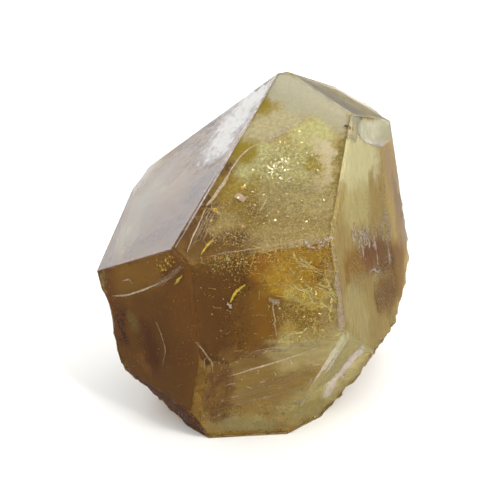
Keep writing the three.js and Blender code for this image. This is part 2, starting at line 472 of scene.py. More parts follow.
# Olive gold under the front crown: milky, and brown where it is thin.
veil(
    "crown_veil", FRONT_CROWN, 1.5, 0.9, 0.5,
    clouded(
        "olive bubble veil",
        ("#f4de98", 0.82, 0.4),
        [
            (((-12.0, -20.0, 32.6), (-4.0, -19.6, 32.4)), 1.6, 3.4, "#ab803b", 0.4, 0.4),
            (((-5.0, -8.8, 42.0), (-11.5, -18.5, 34.0)), 1.2, 2.2, "#94642a", 0.55, 0.2),
            (((-6.2, -11.0, 40.4), (-2.0, -15.5, 36.6)), 1.0, 2.6, "#d4b44c", 0.78, 0.5),
            (((1.5, -12.0, 40.2), (7.5, -13.5, 38.8)), 1.4, 3.4, "#fff4bc", 0.88, 0.45),
            (((-3.2, -11.4, 39.4), (-1.8, -8.4, 41.8)), 1.0, 2.6, "#e6cc55", 0.76, 0.5),
            (((-0.5, -7.4, 42.8), (6.5, -8.4, 42.4)), 2.4, 3.2, "#fffec4", 0.96, 0.45),
            (((8.5, -8.4, 42.4),), 1.0, 2.2, "#e8d468", 0.88, 0.6),
            (((-3.6, -5.4, 43.8), (-0.2, 0.2, 48.8)), 1.8, 2.0, "#c4ae34", 0.88, 0.08),
            (((-1.4, -3.2, 46.6), (4.6, -1.6, 48.8)), 1.4, 2.0, "#f4ecc8", 0.92, 0.25),
            (((6.0, -4.4, 46.2), (9.4, -3.4, 47.2)), 0.8, 2.4, "#fffec0", 0.9, 0.3),
            (((9.2, -5.6, 45.6), (10.8, -8.4, 43.2)), 0.6, 1.5, "#fff6dc", 0.94, 0.12),
            (((10.8, -8.6, 43.0), (8.4, -11.8, 40.2)), 0.6, 1.6, "#fbf0d0", 0.92, 0.2),
            (((12.9, -5.8, 45.9), (12.2, -8.7, 43.4)), 0.5, 1.0, "#c0ac66", 0.9, 0.4),
            (((12.2, -8.9, 43.2), (11.4, -12.2, 40.4)), 0.4, 1.2, "#d2be74", 0.88, 0.5),
            (((2.0, 3.4, 52.2), (10.5, -0.2, 49.8)), 2.2, 2.2, "#e4e2d2", 0.92, 0.1),
            (((10.5, -0.4, 49.6), (13.6, -3.2, 47.8)), 1.2, 2.0, "#e6e2d0", 0.92, 0.12),
        ],
    ),
)
# Gold under the upper front, which thins to clear brown at the left.
veil(
    "front_veil", FRONT_SIDE, 1.4, 0.9, 0.4,
    clouded(
        "gold bubble veil",
        ("#80500e", 0.72, 0.15),
        [
            (((0.2, -19.8, 24.6), (0.4, -19.8, 18.4)), 3.0, 5.0, "#90600f", 0.7, 0.15),
            (((0.4, -19.8, 24.6), (0.6, -19.8, 18.8)), 0.6, 3.4, "#b07c18", 0.7, 0.15),
            (((-9.0, -20.0, 32.6), (-1.0, -19.8, 33.6)), 1.0, 3.0, "#aa8030", 0.66, 0.5),
            (((0.8, -19.6, 30.4),), 1.4, 3.0, "#d0901c", 0.72, 0.3),
            (((3.5, -19.5, 31.0), (9.5, -19.2, 31.6)), 1.4, 3.0, "#deb03e", 0.84, 0.4),
            (((3.4, -19.5, 28.8), (9.0, -19.2, 28.0)), 2.4, 2.6, "#eec43c", 0.84, 0.4),
            (((9.6, -19.2, 29.6),), 1.0, 2.0, "#cc9424", 0.8, 0.6),
            (((6.3, -19.4, 21.3),), 3.2, 2.2, "#d4b454", 0.84, 0.6),
            (((3.4, -19.5, 19.8),), 0.7, 1.4, "#f0d880", 0.88, 0.2),
            (((4.6, -19.4, 26.0), (10.0, -19.2, 23.8)), 0.7, 1.8, "#fff08c", 0.94, 0.3),
            (((10.2, -19.2, 19.4), (11.4, -19.2, 30.0)), 1.0, 1.8, "#dcc890", 0.88, 0.3),
            (((1.6, -19.8, 17.4), (12.4, -19.4, 18.6)), 0.8, 1.2, "#e4d89c", 0.88, 0.3),
            (((3.2, -19.8, 18.6),), 0.4, 1.0, "#f4f0b8", 0.92, 0.2),
            (((-6.0, -20.0, 15.4), (1.0, -19.8, 17.0)), 0.2, 1.6, "#a87c3c", 0.68, 0.3),
        ],
        drift=3.0,
    ),
    laps=[(FRONT_UNDERCUT, 1.24)],
)
THREADS = [  # ends of the pale yellow threads in a healed crack under the front, in mm
    ((2.7, -20.5, 27.9), (6.0, -20.3, 26.5)), ((6.0, -20.3, 26.5), (6.9, -20.2, 25.6)),
    ((5.7, -20.3, 25.4), (7.7, -20.2, 24.4)), ((7.7, -20.2, 24.4), (10.8, -20.0, 23.0)),
    ((8.3, -20.1, 27.7), (10.4, -20.0, 26.9)), ((5.4, -20.3, 31.2), (7.3, -20.2, 30.2)),
    ((7.3, -20.2, 30.2), (8.8, -20.1, 29.2)), ((4.1, -20.4, 30.3), (5.2, -20.3, 28.6)),
    ((4.8, -20.3, 32.5), (5.3, -20.3, 30.6)), ((7.9, -20.2, 21.9), (7.8, -20.2, 19.6)),
    ((10.2, -20.0, 21.2), (10.0, -20.0, 24.9)), ((9.4, -20.1, 28.6), (10.6, -20.0, 25.6)),
    ((6.6, -20.2, 27.6), (8.0, -20.2, 25.2)), ((3.4, -20.4, 26.4), (5.4, -20.3, 24.2)),
    ((2.1, -20.5, 18.2), (3.7, -20.4, 19.4)), ((3.7, -20.4, 19.4), (5.7, -20.3, 19.5)),
    ((5.7, -20.3, 19.5), (6.8, -20.2, 20.4)), ((2.1, -20.5, 18.4), (4.4, -20.4, 18.0)),
]
MILKY_LINES = [  # ends of its milky lines, in mm, and how far they reach
    ((3.7, -20.4, 34.2), (4.9, -20.3, 34.0), 0.06), ((4.9, -20.3, 34.0), (7.5, -20.2, 35.0), 0.08),
    ((1.0, -20.6, 25.3), (1.9, -20.5, 24.6), 0.2), ((11.0, -20.2, 33.1), (11.7, -20.1, 26.5), 0.3),
    ((11.7, -20.1, 26.5), (12.0, -20.1, 19.9), 0.34),
]
# The healed crack itself, in front of the gold veil.
veil(
    "front_threads", FRONT_SIDE, 0.7, 0.9, 0.3,
    clouded(
        "feathery healed crack",
        ("#fff4b0", 0.0, 0.4),
        [((start, end), 0.06, 0.3, "#ffec98", 0.9, 0.5) for start, end in THREADS]
        + [((start, end), reach, 0.5, "#ddc8b4", 0.8, 0.5) for start, end, reach in MILKY_LINES],
        grain=0.4, drift=1.5,
    ),
)
# Straw yellow under the right side, in upright streaks, and reddish brown across the middle.
veil(
    "right_veil", RIGHT_SIDE, 0.8, 0.6, 0.1,
    clouded(
        "pale bubble veil",
        ("#dcc278", 0.88, 0.26),
        [
            (((13.0, -8.0, 43.5), (17.5, 3.0, 41.0)), 3.6, 3.6, "#fff9cc", 0.97, 0.16),
            (((13.6, -11.5, 36.5), (16.5, -3.0, 34.5)), 1.8, 3.0, "#f2e6a4", 0.92, 0.25),
            (((17.8, 2.0, 34.5), (17.6, 2.0, 37.0)), 1.0, 2.0, "#d8be74", 0.9, 0.2),
            (((22.2, 13.4, 38.0), (25.0, 18.0, 22.0)), 1.8, 2.6, "#ccb08c", 0.9, 0.4),
            (((13.2, -14.6, 28.4), (16.6, -5.5, 26.2)), 0.8, 3.0, "#c89a34", 0.88, 0.4),
            (((17.0, -4.4, 26.4), (19.8, 3.0, 24.4)), 0.6, 4.4, "#ac703a", 0.88, 0.34),
            (((20.2, 4.0, 22.8), (24.4, 14.0, 19.4)), 1.4, 2.6, "#ac7c3c", 0.88, 0.36),
            (((13.8, -15.6, 22.6), (15.6, -10.8, 17.6)), 2.4, 2.6, "#e2d294", 0.93, 0.25),
            (((19.0, -0.5, 17.2), (24.6, 12.5, 15.4)), 1.8, 2.6, "#b88c3c", 0.88, 0.5),
            (((24.2, 14.0, 34.0), (26.0, 18.6, 24.0)), 0.8, 1.6, "#a08870", 0.88, 0.4),
        ],
        grain=0.7, stretch=(1, 1, 0.3),
    ),
    laps=[(FRONT_CROWN, 0.7), (FRONT_SIDE, 0.8)],
)
# Shattered barite at the upper right corner: dense and greenish white, with a brighter rim.
veil(
    "cap_film", RIGHT_SIDE, 0.72, 0.5, 0.02,
    clouded(
        "milky shattered barite",
        ("#e4e0c4", 0.0, 0.2),
        [
            (((14.3, -2.9, 48.0), (16.5, 2.2, 46.0)), 1.2, 0.3, "#c8c6b0", 1.0, 0.2),
            (((20.0, 11.0, 42.6), (23.6, 19.0, 41.4)), 1.1, 0.4, "#c8c6ae", 1.0, 0.3),
            (((15.9, 0.2, 46.3), (23.4, 17.5, 43.2)), 1.2, 0.3, "#cac8b0", 1.0, 0.25),
            (((16.9, 2.2, 44.9), (22.6, 15.4, 42.4)), 0.9, 0.25, "#c6c4a8", 1.0, 0.3),
            (((18.5, 7.0, 43.0), (19.9, 10.4, 42.3)), 0.8, 0.2, "#c8c6ac", 1.0, 0.3),
            (((15.6, -0.6, 45.6), (18.0, 5.0, 42.9)), 0.1, 0.4, "#fbfaee", 1.0, 0.4),
            (((18.0, 5.0, 42.9), (20.0, 10.0, 41.4)), 0.1, 0.4, "#fbfaee", 1.0, 0.4),
            (((20.0, 10.0, 41.4), (21.6, 14.2, 41.2)), 0.1, 0.4, "#fbfaee", 1.0, 0.4),
            (((12.9, -5.6, 47.8), (14.0, -4.0, 47.0)), 0.6, 1.4, "#f6e8c0", 1.0, 0.35),
        ],
        grain=0.6, drift=0.9,
    ),
    laps=[(FRONT_CROWN, 0.5)],
)
DRIPS = [  # upper ends of the pale streaks that run down the right side, and their lengths, in mm
    ((14.3, -9.6, 33.4), 1.6), ((15.0, -8.4, 31.4), 2.2), ((16.6, -4.4, 30.6), 2.4),
    ((18.3, -0.4, 28.6), 2.0), ((18.9, 0.0, 25.4), 2.2), ((21.5, 7.7, 26.6), 2.0),
    ((21.6, 7.0, 23.8), 2.6), ((13.9, -11.0, 32.6), 1.2), ((17.4, -2.6, 30.8), 1.4),
    ((20.2, 5.0, 27.4), 1.6), ((15.6, -6.8, 28.6), 1.6), ((22.8, 11.4, 27.0), 2.2),
    ((14.8, -9.2, 30.2), 1.0), ((16.0, -5.8, 31.6), 1.6), ((17.0, -3.4, 28.8), 1.4),
    ((19.2, 1.6, 30.0), 1.8), ((19.9, 4.0, 30.4), 1.2), ((18.6, 0.2, 27.0), 1.2),
    ((20.9, 6.6, 29.0), 1.4), ((22.0, 9.6, 29.4), 1.8),
]
# The streaks on the right side: white healed cracks that look like drips.
veil(
    "flank_drips", RIGHT_SIDE, 0.7, 0.5, 0.05,
    clouded(
        "white healed cracks",
        ("#e8dcc8", 0.0, 0.3),
        [
            (((x, y, z), (x + 0.05, y + 0.12, z - long)), 0.12, 0.6, "#ffead4", 0.97, 0.45)
            for (x, y, z), long in DRIPS
        ]
        + [
            (((20.7, 9.9, 36.6), (20.9, 8.6, 31.9)), 0.06, 0.22, "#fff6ea", 0.9, 0.9),
            (((20.8, 7.4, 29.6), (18.5, 0.4, 29.0)), 0.08, 0.26, "#fff6ea", 0.9, 0.8),
        ],
        grain=0.4, stretch=(1, 1, 0.5), drift=1.2,
    ),
)
# Olive under the undercut front, drawn out along the growth lines.
veil(
    "lower_veil", FRONT_UNDERCUT, 1.3, 0.9, 0.4,
    clouded(
        "olive streaked veil",
        ("#d6b66c", 0.62, 0.25),
        [
            (((-6.6, -19.8, 12.6), (-7.6, -18.4, 4.0)), 0.8, 2.4, "#946640", 0.4, 0.1),
            (((-4.0, -20.0, 15.0), (3.0, -19.8, 16.4)), 0.6, 2.0, "#b89458", 0.66, 0.3),
            (((4.0, -19.2, 16.0), (11.0, -18.8, 16.8)), 1.6, 3.2, "#e8daa0", 0.84, 0.2),
            (((4.5, -17.0, 4.6), (8.5, -16.4, 8.4)), 1.2, 2.6, "#e0d090", 0.76, 0.3),
            (((-7.0, -18.0, 2.2), (1.0, -16.6, 1.8)), 0.6, 1.6, "#d8cc94", 0.7, 0.3),
            (((7.9, -18.4, 10.4), (7.2, -18.0, 8.4)), 0.3, 0.8, "#f4ecec", 0.95, 0.3),
        ],
        grain=0.8, stretch=(0.25, 1, 1),
    ),
)
# Frosted green-gold at the lower right, and white where the foot is bruised.
veil(
    "foot_veil", RIGHT_UNDERCUT, 1.4, 0.6, 0.2,
    clouded(
        "frosted foot veil",
        ("#ded29a", 0.85, 0.2),
        [
            (((7.4, -15.5, 4.0), (10.0, -12.0, 4.5)), 1.2, 1.6, "#d6ca88", 0.82, 0.35),
            (((11.6, -19.2, 17.8), (10.6, -18.3, 15.6)), 1.1, 0.8, "#f0ecd0", 0.96, 0.15),
            (((10.6, -18.3, 15.6), (9.2, -18.0, 12.8)), 0.7, 0.5, "#fffdf0", 1.0, 0.2),
            (((9.2, -18.0, 12.6), (7.6, -18.0, 10.2)), 0.6, 0.5, "#fff6f4", 1.0, 0.3),
            (((14.2, -12.2, 12.0), (12.2, -12.4, 9.2)), 1.7, 0.7, "#fcf0fa", 1.0, 0.3),
            (((12.2, -12.4, 9.2), (10.6, -11.5, 5.6)), 1.0, 0.7, "#fff4fc", 1.0, 0.3),
        ],
        drift=1.0,
    ),
)
# A thin brown veil that leaves the left side dark and nearly clear.
veil(
    "left_veil", LEFT_SIDE, 1.4, 0.9, 0.4,
    clouded(
        "thin brown veil",
        ("#8c5a12", 0.76, 0.1),
        [
            (((-15.5, -16.6, 29.4), (-22.0, -10.6, 24.5)), 1.4, 3.4, "#b07e30", 0.62, 0.12),
            (((-24.8, -7.0, 22.0), (-23.6, -7.6, 13.0)), 0.6, 2.0, "#905418", 0.74, 0.15),
            (((-23.0, -8.6, 18.4), (-22.4, -8.6, 13.4)), 0.3, 2.0, "#683608", 0.8, 0.1),
            (((-20.9, -10.4, 18.4), (-20.6, -10.2, 16.8)), 0.4, 1.0, "#a08048", 0.66, 0.2),
            (((-18.2, -12.6, 16.4), (-17.2, -13.2, 12.0)), 0.6, 3.0, "#703c08", 0.8, 0.1),
            (((-19.8, -10.6, 11.4), (-18.8, -11.4, 9.6)), 0.4, 1.2, "#a87030", 0.7, 0.15),
            (((-13.4, -18.6, 27.6), (-12.2, -19.4, 20.0)), 1.4, 2.2, "#985f10", 0.76, 0.15),
            (((-26.4, -6.9, 24.0), (-26.3, -6.8, 21.2)), 0.5, 0.9, "#b8ac80", 0.8, 0.3),
        ],
    ),
)
# Rust at the lower left foot: a warm orange brown.
veil(
    "under_veil", LEFT_CORNER, 0.8, 0.9, 0.2,
    clouded(
        "rusty veil",
        ("#80480c", 0.76, 0.15),
        [(((-22.2, -9.4, 7.0), (-13.6, -14.4, 1.2)), 0.3, 1.2, "#c8640c", 0.8, 0.4)],
    ),
)
# A faint gold haze under the corner between the left side and the front.
veil(
    "corner_veil", UNDER_CORNER, 1.0, 0.9, 0.2,
    clouded("thin gold veil", ("#d8a858", 0.26, 0.4), []),
)
# A film under the upper left face, crackled at its upper end. Its faint lilac tint is painted reflection of
# the bright room, and its white upper end is a painted highlight.
veil(
    "pearly_film", LEFT_CROWN, 0.4, 0.9, 0.1,
    clouded(
        "film with painted lilac reflection",
        # Lilac grey ground and paler left edge: painted reflection of the room, added to the face's real
        # mirror reflection.
        ("#b8b2c0", 0.16, 0.2),
        [
            (((-22.0, -4.0, 28.6), (-18.5, 3.0, 34.5)), 0.5, 7.0, "#e6ece4", 0.26, 0.2),
            (((-13.0, -3.0, 38.0),), 0.0, 5.0, "#dccccc", 0.2, 0.2),
            # Painted highlight: the upper end is made white where the face shines brightest.
            (((-6.6, -0.8, 44.2), (-1.0, 4.6, 50.0)), 1.8, 4.4, "#ffffff", 1.0, 0.36),
        ],
        grain=0.8, drift=6.0,
    ),
)
# Dull olive under the top face, and paler along its borders.
veil(
    "top_veil", RIGHT_CROWN, 0.5, 0.6, 0.1,
    clouded(
        "thin olive veil",
        ("#80703a", 0.96, 0.2),
        [
            (((5.0, 6.5, 54.4), (13.6, 20.9, 48.6)), 0.2, 1.6, "#d8d4bc", 0.95, 0.4),
            (((13.6, 20.9, 48.6), (21.0, 18.0, 45.0)), 0.8, 1.6, "#e4e0d0", 0.95, 0.4),
        ],
        grain=1.0, stretch=(1, 0.3, 1), drift=1.5,
    ),
)
# Golden brown under the back, with brighter wisps.
veil(
    "rear_veil", REAR_SIDE, 2.0, 0.9, 0.6,
    clouded(
        "rear bubble veil",
        ("#c4a058", 0.4, 0.4),
        [
            (((10.0, 19.5, 34.0),), 2.0, 5.0, "#f0de98", 0.75, 0.5),
            (((-6.0, 18.5, 12.0),), 4.0, 6.0, "#a87c40", 0.35, 0.3),
            (((8.0, 19.5, 14.0),), 3.0, 5.0, "#d9c284", 0.65, 0.6),
            (((-14.0, 18.5, 37.0), (-3.0, 19.0, 29.0)), 0.4, 1.8, "#f8ecc0", 0.85, 0.5),
            (((2.0, 19.3, 43.0), (13.0, 20.0, 38.5)), 0.3, 1.6, "#fff4cc", 0.85, 0.5),
            (((-13.0, 18.5, 22.0), (3.0, 19.2, 25.0)), 0.3, 1.5, "#e0bc68", 0.8, 0.5),
            (((15.0, 20.0, 30.0), (17.0, 20.0, 12.0)), 0.8, 2.2, "#80500e", 0.7, 0.3),
            (((-11.0, 18.5, 5.0), (9.0, 19.4, 6.5)), 0.6, 2.0, "#f4e2ac", 0.8, 0.6),
            (((-4.0, 19.0, 38.0),), 0.6, 3.0, "#8c5a12", 0.7, 0.4),
        ],
        grain=0.8, drift=5.0,
    ),
)


# --- The shattered hollow behind ----------------------------------------------------------------------
# A shell-shaped chip out of the back. The crystal is shattered just under it, so the hollow looks milky.
# It is a film that follows the hollow, a hair under its surface.
def film_under_chip(name, middle, reach, depth, finish):
    """A thin film under the hollow that lies round one point in mm."""
    film = solid.copy()
    film.data = solid.data.copy()
    film.name = name
    bpy.context.scene.collection.objects.link(film)
    take(film)
    bpy.ops.object.mode_set(mode="EDIT")
    bpy.ops.mesh.select_mode(type="FACE")
    bpy.ops.mesh.select_all(action="DESELECT")
    bpy.ops.object.mode_set(mode="OBJECT")
    for facet in film.data.polygons:
        on_growth_face = any(
            abs((facet.center - c).dot(n)) < 0.03 * MM and facet.normal.dot(n) > 0.999 for c, n in flats
        )
        near = (facet.center - Vector(middle) * MM).length < reach * MM
        facet.select = near and not on_growth_face
    bpy.ops.object.mode_set(mode="EDIT")
    bpy.ops.mesh.select_all(action="INVERT")
    bpy.ops.mesh.delete(type="FACE")
    bpy.ops.mesh.select_mode(type="VERT")
    bpy.ops.object.mode_set(mode="OBJECT")
    modifier = film.modifiers.new("inwards", "DISPLACE")
    modifier.strength = -depth * MM
    modifier.mid_level = 0
    modifier = film.modifiers.new("wall", "SOLIDIFY")
    modifier.thickness = 0.03 * MM
    modifier.offset = 0
    finish_modifiers(film)
    inside = [reach - (v.co / MM - Vector(middle)).length for v in film.data.vertices]
    slower = 3.0 / FADE  # so that this film fades over its last 3 mm
    layer = film.data.attributes.new("from_edge", "FLOAT", "POINT")
    layer.data.foreach_set("value", np.array(inside, np.float32) / slower)
    bpy.ops.object.shade_smooth()
    film.data.materials.clear()
    film.data.materials.append(finish)
    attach(film, "root")


film_under_chip(
    "rear_film", (6.0, 20.3, 16.0), 13.0, 0.3,
    clouded(
        "thin shattered barite",
        ("#d8c896", 0.1, 0.4),
        [
            (((7.0, 20.0, 19.0), (3.0, 20.0, 13.0)), 1.4, 3.0, "#f2e8c4", 0.62, 0.7),
            (((11.0, 20.0, 12.0),), 0.8, 2.6, "#e8d6a0", 0.5, 0.7),
            (((0.5, 20.0, 19.5),), 0.5, 2.2, "#fff6d8", 0.6, 0.7),
        ],
        grain=0.7,
    ),
)


# --- Bubbles ------------------------------------------------------------------------------------------
# Fluid bubbles and mineral flakes too small to name, thrown through the crystal in loose clouds under
# its faces. Each is a tiny flattened eight-sided solid. They sparkle pale gold where they catch light,
# and take on the amber or olive of the barite round them.
bpy.ops.mesh.primitive_uv_sphere_add(segments=4, ring_count=2, radius=0.5)
flake = bpy.context.object
flake.name = "flake"
bpy.ops.object.mode_set(mode="EDIT")
bpy.ops.transform.resize(value=(1, 1, 0.35))
bpy.ops.object.mode_set(mode="OBJECT")


def push_inside(piece, corners):
    """Push each copy in a mesh of copies, of this many corners each, inwards until it is all sealed in."""
    least, target = 0.02 * MM, 0.05 * MM
    for first in range(0, len(piece.data.vertices), corners):
        copy = piece.data.vertices[first : first + corners]
        for _ in range(3):  # a push away from one face can push it out of another
            depth, outward = min((depth_under_skin(v.co) for v in copy), key=lambda found: found[0])
            if depth > least:
                break
            for vertex in copy:
                vertex.co -= outward * (target - depth)


def scattered(name, face, speck, finish, clouds, deep, sizes, seed, clump=2.0, aim=None):
    """One mesh of copies of a speck, of one finish, at random places under a face.

    clouds are (centre in mm, reach in mm, soft edge in mm, specks in a square mm); deep is the
    nearest and farthest depth in mm, sizes the smallest and largest size in mm, and clump the size in
    mm of the gaps between them. Specks lie every way, or nearly square to the direction in aim.
    """
    sheet = flat_sheet(name, face, deep[0], 1.0)
    tree = bpy.data.node_groups.new(name, "GeometryNodeTree")
    tree.interface.new_socket("Geometry", in_out="INPUT", socket_type="NodeSocketGeometry")
    tree.interface.new_socket("Geometry", in_out="OUTPUT", socket_type="NodeSocketGeometry")
    start = add_node(tree, "NodeGroupInput").outputs[0]
    here = add_node(tree, "GeometryNodeInputPosition").outputs[0]
    thick = 0.0
    for middle, reach, soft, amount in clouds:
        away = add_node(
            tree, "ShaderNodeVectorMath", {"operation": "DISTANCE"},
            {0: here, 1: tuple(c * MM for c in middle)},
        ).outputs["Value"]
        share = add_node(
            tree, "ShaderNodeMapRange", {"interpolation_type": "SMOOTHSTEP"},
            {
                "Value": away, "From Min": (reach + soft) * MM, "From Max": reach * MM,
                "To Max": amount / (MM * MM),
            },
        ).outputs["Result"]
        thick = add_node(tree, "ShaderNodeMath", {"operation": "MAXIMUM"}, {0: thick, 1: share}).outputs[0]
    gaps = add_node(
        tree, "ShaderNodeTexNoise", {}, {"Vector": here, "Scale": 1 / (clump * MM), "Detail": 3.0}
    ).outputs[0]
    gaps = add_node(
        tree, "ShaderNodeMapRange", {}, {"Value": gaps, "From Min": 0.36, "From Max": 0.6}
    ).outputs["Result"]
    thick = add_node(tree, "ShaderNodeMath", {"operation": "MULTIPLY"}, {0: thick, 1: gaps}).outputs[0]
    points = add_node(
        tree, "GeometryNodeDistributePointsOnFaces", {}, {"Mesh": start, "Density": thick, "Seed": seed}
    ).outputs["Points"]
    depth = add_node(
        tree, "FunctionNodeRandomValue", {"data_type": "FLOAT"}, {2: 0.0, 3: 1.0, "Seed": seed + 1}
    ).outputs[1]
    inwards = tuple(-face[1] * (deep[1] - deep[0]) * MM)
    shift = add_node(
        tree, "ShaderNodeVectorMath", {"operation": "SCALE"}, {0: inwards, "Scale": depth}
    ).outputs[0]
    points = add_node(
        tree, "GeometryNodeSetPosition", {}, {"Geometry": points, "Offset": shift}
    ).outputs[0]
    sway = math.tau if aim is None else 0.24  # in radians
    turn = add_node(
        tree, "FunctionNodeRandomValue", {"data_type": "FLOAT_VECTOR"},
        {0: (-sway, -sway, 0), 1: (sway, sway, math.tau), "Seed": seed + 2},
    ).outputs[0]
    if aim is not None:
        level = aim.to_track_quat("Z", "Y").to_euler()
        turn = add_node(
            tree, "FunctionNodeRotateRotation", {"rotation_space": "LOCAL"}, {0: level, 1: turn}
        ).outputs[0]
    size = add_node(
        tree, "FunctionNodeRandomValue", {"data_type": "FLOAT"},
        {2: (sizes[0] / sizes[1]) ** 0.5, 3: 1.0, "Seed": seed + 3},
    ).outputs[1]
    size = add_node(tree, "ShaderNodeMath", {"operation": "POWER"}, {0: size, 1: 2.0}).outputs[0]
    size = add_node(
        tree, "ShaderNodeMath", {"operation": "MULTIPLY"}, {0: size, 1: sizes[1] * MM}
    ).outputs[0]
    shape = add_node(tree, "GeometryNodeObjectInfo", {}, {"Object": speck}).outputs["Geometry"]
    copies = add_node(
        tree, "GeometryNodeInstanceOnPoints", {},
        {"Points": points, "Instance": shape, "Rotation": turn, "Scale": size},
    ).outputs[0]
    solid_copies = add_node(tree, "GeometryNodeRealizeInstances", {}, {0: copies}).outputs[0]
    tree.links.new(solid_copies, add_node(tree, "NodeGroupOutput").inputs[0])
    modifier = sheet.modifiers.new("scatter", "NODES")
    modifier.node_group = tree
    finish_modifiers(sheet)
    sheet.data.materials.clear()
    push_inside(sheet, len(speck.data.vertices))
    sheet.data.materials.append(finish)
    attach(sheet, "root")


def sparkling(name, shades, grain=0.3, metallic=0.0, rough=0.4):
    """Specks whose colour changes from one to the next, between the given shades."""
    material, tree, shader, _ = new_material(name)
    place = add_node(tree, "ShaderNodeTexCoord").outputs["Object"]
    pick = add_node(
        tree, "ShaderNodeTexNoise", {}, {"Vector": place, "Scale": 1 / (grain * MM), "Detail": 2.0}
    ).outputs["Fac"]
    colours = add_node(tree, "ShaderNodeValToRGB", {}, {"Fac": pick})
    stops = colours.color_ramp.elements
    stops[0].position, stops[-1].position = 0.36, 0.64
    while len(stops) < len(shades):
        stops.new(0.36 + 0.28 * (len(stops) - 1) / (len(shades) - 1))
    for stop, shade in zip(stops, shades):
        stop.color = linear(shade)
    tree.links.new(colours.outputs["Color"], shader.inputs["Base Color"])
    shader.inputs["Metallic"].default_value = metallic
    shader.inputs["Roughness"].default_value = rough
    return material


pale_bubbles = sparkling("pale bubbles", ["#fffbe0", "#e8d890", "#8c743a", "#fff6c4"])
scattered(
    "crown_bubbles", FRONT_CROWN, flake,
    pale_bubbles,
    [
        ((2.5, -15.0, 37.6), 5.0, 3.0, 24),
        ((8.8, -15.5, 37.4), 3.5, 2.5, 24),
        ((-4.5, -16.5, 35.4), 2.6, 2.6, 18),
        ((4.5, -9.0, 43.0), 3.0, 2.6, 15),
        ((12.4, -9.0, 43.4), 0.9, 1.0, 22),
        ((-1.5, -8.6, 42.2), 2.0, 2.0, 9),
    ],
    (0.2, 1.4), (0.12, 0.36), 11,
)
scattered(
    "front_bubbles", FRONT_SIDE, flake,
    sparkling("gold bubbles", ["#fff6b8", "#f0c860", "#a07c30", "#fbf0b8"]),
    [
        ((6.5, -20.3, 32.0), 4.5, 3.0, 9),
        ((6.9, -20.3, 21.0), 4.0, 1.5, 18),
        ((-4.0, -20.7, 33.4), 3.5, 2.2, 12),
        ((0.0, -20.5, 31.0), 1.5, 2.0, 5),
        ((-4.0, -20.5, 22.0), 6.0, 4.0, 0.7),
    ],
    (0.2, 1.4), (0.12, 0.36), 21,
)
scattered(
    "right_bubbles", RIGHT_SIDE, flake,
    sparkling("tan bubbles", ["#fff8d8", "#e4cc98", "#9c7848", "#fffae8"]),
    [
        ((14.5, -8.0, 38.0), 3.0, 3.0, 4),
        ((15.0, -11.0, 26.0), 3.0, 3.0, 9),
        ((20.5, 3.0, 17.0), 4.0, 3.0, 7),
        ((24.0, 12.0, 17.0), 4.0, 3.0, 4),
        ((19.4, 5.0, 36.6), 2.4, 3.0, 7),
        ((17.4, -1.0, 34.4), 2.0, 2.0, 7),
    ],
    (0.3, 0.7), (0.12, 0.36), 31,
)
scattered(
    "lower_bubbles", FRONT_UNDERCUT, flake,
    sparkling("olive bubbles", ["#faf2cc", "#dccb8c", "#a08a50", "#faf6d8"]),
    [((2.0, -20.0, 12.0), 9.0, 4.0, 1.6), ((7.0, -17.8, 4.5), 3.0, 2.0, 7)],
    (0.3, 1.3), (0.12, 0.36), 41,
)
scattered(
    "left_bubbles", LEFT_SIDE, flake,
    sparkling("amber bubbles", ["#e8b850", "#a8742c", "#6e4416", "#d0a870"]),
    [
        ((-18.0, -14.0, 22.0), 12.0, 5.0, 1.3),
        ((-15.5, -17.0, 29.6), 2.0, 1.6, 12),
        ((-13.5, -19.0, 30.8), 1.2, 1.2, 12),
    ],
    (0.3, 1.5), (0.1, 0.34), 51,
)
scattered(
    "rear_bubbles", REAR_SIDE, flake,
    pale_bubbles,
    [
        ((8.0, 21.0, 32.0), 9.0, 6.0, 6), ((0.0, 20.5, 14.0), 9.0, 6.0, 4),
        ((-10.0, 20.5, 34.0), 2.0, 5.0, 8), ((6.0, 21.0, 41.0), 1.5, 4.0, 10),
        ((-8.0, 20.5, 5.0), 2.0, 4.0, 10),
    ],
    (0.3, 1.9), (0.12, 0.5), 61, clump=1.6,
)


# --- Bright glints ------------------------------------------------------------------------------------
# Splinter-thin fluid films that lie so that they mirror the front soft box, like a mirror in the sun.
# They are as bright as metal, white under the crown and yellow in the gold under the front.
SOFT_BOX = Vector((0.55, -0.60, 0.85))  # where that soft box hangs, in metres


def inside_way(out, normal):
    """The way that light goes inside the crystal before it leaves a face in the direction out."""
    along = out - normal * out.dot(normal)
    return along / BARITE_IOR + normal * math.sqrt(1 - along.length_squared / BARITE_IOR**2)


def mirror_way(face):
    """The way a film under this face looks when it mirrors the soft box."""
    centre, normal = face
    seen = inside_way((EYE - centre).normalized(), normal)
    lit = inside_way((SOFT_BOX - centre).normalized(), normal)
    return (seen + lit).normalized()


